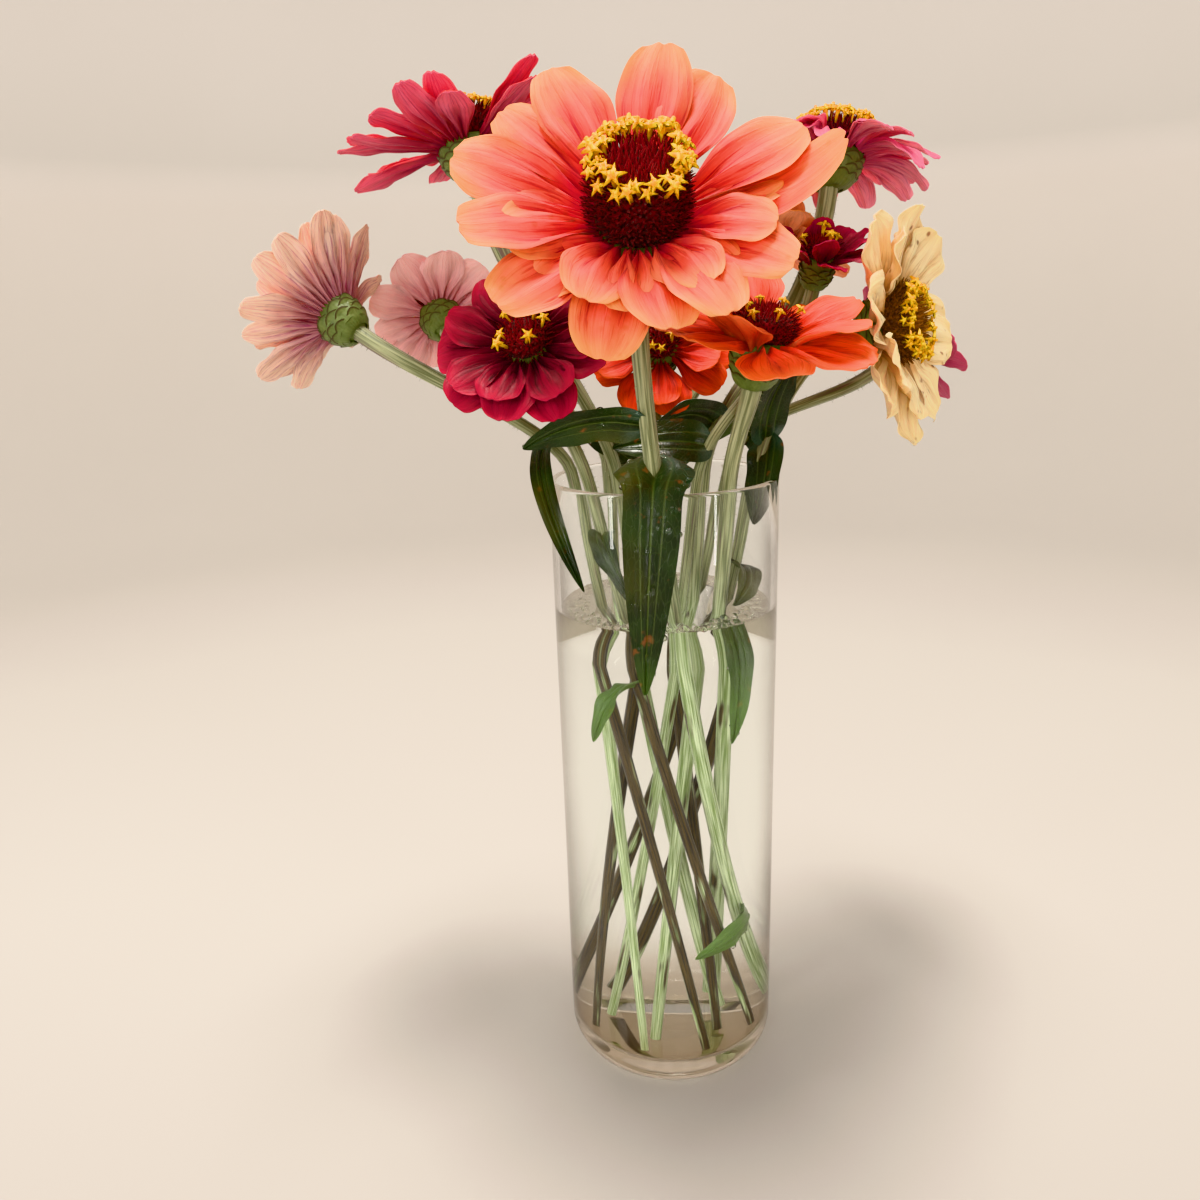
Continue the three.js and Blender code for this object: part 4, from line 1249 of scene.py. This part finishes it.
# %% The leaves of each stem
LEAVES = {
    "vermilion": [
        ((1, 12, 216), (15, 9, 230), (30, 10, 234), (0, -0.4, 0.9), 7.0, 0.2),
        ((-1, 12, 214), (-14, 9, 228), (-29, 9, 231), (0, -0.4, 0.9), 6.5, 0.2),
    ],
    "coral": [
        ((-4.8, -30.5, 220.5), (-6.5, -49, 225), (-9.5, -42, 154), (-1, 0, 0), 11.5, 0.15),
        ((18, 1, 54), (30, -16, 58), (6, -29, 51), (0, -0.2, -1), 5.0, 0.2),
        ((-6.5, -31.5, 235), (-24, -33, 241), (-44, -31, 230), (0, -0.5, 1), 6.4, 0.2),
    ],
    "crimson": [
        ((-20.6, -17.3, 200), (-22, -29, 203), (-12, -29.5, 180), (-0.7, 0.6, 0), 4.5, 0.3),
        ((-9.1, -15.7, 150), (-19, -25, 153), (-24, -19, 130), (-0.6, 0.6, -0.4), 4.5, 0.3),
    ],
    "orange": [((16.3, -12.7, 166), (24, -23, 160), (18, -24, 130), (-1, -0.6, 0), 5.0, 0.2)],
    "peach": [((-38, 1.6, 228), (-45, -18, 223), (-27, -35, 186), (-1, -0.1, -0.3), 3.8, 0.2)],
    "cream": [
        ((23, 0.2, 184), (31, -9, 187), (20, -23, 177), (-0.6, -0.6, 0.3), 6.0, 0.2),
        ((33, -4.6, 226), (31, -12, 240), (40, -16, 252), (1, 0.5, -0.4), 6.5, 0.2),
        ((33.6, -3.9, 227), (33, -11, 219), (29, -8, 199), (-0.8, 0.7, 0), 7.0, 0.2),
    ],
    "magenta": [((18.8, 9.3, 230), (10, -2, 240), (-4, -4, 231), (0, -0.7, 1), 8.0, 0.2)],
    "plum": [((30, 20.6, 222), (36, 12, 236), (35, 6, 243), (0.6, -0.3, -0.7), 5.0, 0.2)],
    "apricot": [((6.4, 32, 223), (14, 25, 237), (15, 12, 236), (0.9, 0.2, -0.4), 6.5, 0.2)],
    "garnet": [((14.5, -9.6, 226), (3, -16, 231), (-17, -13, 227), (0, 0.5, 1), 7.5, 0.2)],
}
print(sum(len(rows) for rows in LEAVES.values()), "leaves")

# %% The tree of a leaf
# The ears and the shoulder are places along the leaf, and the groove of a side vein is one across it.
EAR, SHOULDER, GROOVE, WAVE_RATE = 0.13, 0.14, 0.45, 15


def leaf_tree():
    sizes = {name: (0.0, 0.0, 0.0) for name in ("Root", "Turn", "Tip", "Across")}
    sizes |= {"Half Width": 6.0, "Fold": 0.2, "Clasp": 0.0, "Wave": 0.6, "Thickness": 0.6, "Seed": 0.0}
    tree, _, given, finish = new_tree("Leaf", sizes)
    x, y, side = point_place(tree).parts()
    shape = set_aside(sheet_of(tree, 25, 45), "petal", arrow(tree, x, y, side), "FLOAT_VECTOR")
    along = y ** 1.05 * 0.995
    back = 1 - along
    root, turn, tip = given["Root"], given["Turn"], given["Tip"]
    middle = root * (back * back) + turn * (along * back * 2) + tip * (along * along)
    tangent = ((turn - root) * back + (tip - turn) * along).unit()
    across = (given["Across"] - tangent * given["Across"].dot(tangent)).unit()
    normal = across.cross(tangent)
    base = back.above(0.0) ** 6.0 * given["Clasp"]
    ear = ((along - EAR) * (along - EAR) * -70).exponent() * given["Clasp"]
    body = ((along * 2.1 + 0.3) * back).above(0.0) ** 0.7 * 1.3
    shoulder = (1 - (1 - along / SHOULDER).above(0.0) ** 2.0).above(0.0).root()
    shoulder = 1 - (1 - shoulder) * given["Clasp"]
    width = given["Half Width"] * (body * (1 - given["Clasp"] * 0.25) + ear * 0.45) * shoulder * x
    edge = x * x
    wave = (along * WAVE_RATE + given["Seed"] + x * 1.5).sin() * edge * given["Wave"] * back.ease(0, 0.3)
    from_side_vein = x.size() - GROOVE
    vein = (edge * -60).exponent() * 0.45
    vein = vein + (from_side_vein * from_side_vein * -90).exponent() * 0.25
    lump = (noise(middle * 0.12 + across * (width * 0.12), 1.0, 1.0) - 0.5) * 1.2
    bulk = given["Thickness"] * 0.5 * side * (1 - edge * 0.7)
    rise = bulk + width.size() * given["Fold"] + wave - vein + lump * back
    lobe = (x.size() * 3.0).sin() * base * given["Half Width"] * -0.75
    where = middle + across * width + normal * rise
    where = where + tangent * lobe * 0.4 + arrow(tree, 0.0, 0.0, lobe * -0.8)
    return end_tree(soften(place_points(shape, where)), finish)


leaves_tree = leaf_tree()
print(len(leaves_tree.nodes), "nodes in the tree of a leaf")

# %% Stems and leaves
CLASPING_WIDTH = 9
for number, (name, zinnia) in enumerate(ZINNIAS.items()):
    values = {"Seed": len(name), "Pale": 0.2 if number % 2 else 0.75}
    stalk = grow(stems_tree, values, stem_finish, line_curve(stem_line(zinnia)))
    made = piece(name + "_stalk", stalk, "green", name + "_stem")
    print(made.name, len(made.data.polygons), "faces")
    leaves = []
    for root, turn, tip, across, half, fold in LEAVES.get(name, []):
        values = {
            "Root": root, "Turn": turn, "Tip": tip, "Across": across, "Half Width": half, "Fold": fold,
            "Clasp": 1.0 if half > CLASPING_WIDTH else 0.3, "Seed": root[0],
        }
        leaves.append(grow(leaves_tree, values, leaf_finish))
    if leaves:
        piece(name + "_leaves", join(leaves), "green")

# %% [markdown]
# ## Drops and bubbles
# Fresh cut leaves are wet. A drop is a small flattened ball of water that stands out of the leaf by a
# little more than half. A tree strews drops of several sizes over a leaf's faces, and the same tree strews
# bubbles where the water meets the glass. They bend light like the water itself.

# %% The tree of the drops
ROUNDNESS = 3
FACES_OF_A_DROP = 20 * 4 ** (ROUNDNESS - 1)


def drop_tree():
    sizes = {"Density": 0.02, "Least": 0.2, "Most": 0.8, "Flat": 0.6, "Seed": 1}
    tree, leaf, given, finish = new_tree("Drops", sizes)
    points, turn = strewn(leaf, given["Density"], given["Seed"])
    ball = add_node(tree, "GeometryNodeMeshIcoSphere", {"Radius": 1.0, "Subdivisions": ROUNDNESS})
    smooth = {"Geometry": Wire(ball.outputs["Mesh"]), "Shade Smooth": True}
    ball = result(tree, "GeometryNodeSetShadeSmooth", smooth)
    share = random_value(0.0, 1.0, given["Seed"])
    size = given["Least"] + (given["Most"] - given["Least"]) * share ** 3.0
    drops = on_points(points, ball, turn, arrow(tree, size, size, size * given["Flat"]))
    return end_tree(drops, finish)


drops_tree = drop_tree()
print(len(drops_tree.nodes), "nodes in the tree of the drops")

# %% Small drops
WET = {"coral": (0.035, 1.5, 4), "peach": (0.03, 0.8, 2), "orange": (0.02, 0.9, 5)}
for name, (density, most, seed) in WET.items():
    leaves = bpy.data.objects[name + "_leaves"].data.copy()
    leaves.transform(Matrix.Scale(1 / MM, 4))
    values = {"Density": density, "Least": 0.32, "Most": most, "Seed": seed}
    made = piece(name + "_drops", grow(drops_tree, values, water_finish, leaves), "water")
    print(made.name, len(made.data.polygons) // FACES_OF_A_DROP, "drops")

# %% Big drops
BEAD_FLATNESS = 0.7


def bead(leaf, x, y, radius):
    """A big drop that sits on a leaf, x across it and y along it."""
    where = leaf.attributes["petal"].data
    spot = min(range(len(where)), key=lambda i: (Vector(where[i].vector) - Vector((x, y, 1))).length)
    upright = Vector((0, 0, 1)).rotation_difference(leaf.vertices[spot].normal).to_matrix().to_4x4()
    form = bmesh.new()
    bmesh.ops.create_icosphere(form, subdivisions=ROUNDNESS, radius=radius)
    flat = Matrix.Diagonal((1, 1, BEAD_FLATNESS, 1))
    form.transform(Matrix.Translation(leaf.vertices[spot].co / MM) @ upright @ flat)
    mesh = bpy.data.meshes.new("bead")
    form.to_mesh(mesh)
    form.free()
    mesh.shade_smooth()
    mesh.materials.append(water_finish)
    return mesh


big_leaf = bpy.data.objects["coral_leaves"].data
beads = [
    (0.1, 0.6, 1.2), (-0.05, 0.72, 1.7), (-0.1, 0.9, 1.3),
    (0.45, 0.3, 0.8), (-0.4, 0.45, 0.7), (0.3, 0.5, 0.6),
]
made = piece("big_drops", join([bead(big_leaf, *row) for row in beads]), "water")
print(made.name, len(beads))

# %% Bubbles
BRINK_WIDTH = 9
brink = turned([(bore - BRINK_WIDTH, WATER_LEVEL + 0.1), (bore - 0.9, WATER_LEVEL + 0.2)], 48, None)
values = {"Density": 0.24, "Least": 0.4, "Most": 1.8, "Flat": 0.8, "Seed": 9}
made = piece("bubbles", grow(drops_tree, values, water_finish, brink), "water")
print(made.name, len(made.data.polygons) // FACES_OF_A_DROP)

# %% [markdown]
# ## The end
# Nothing made here may reach more than three hundredths past the box of the solids.

# %% End
print("the bunch is made")
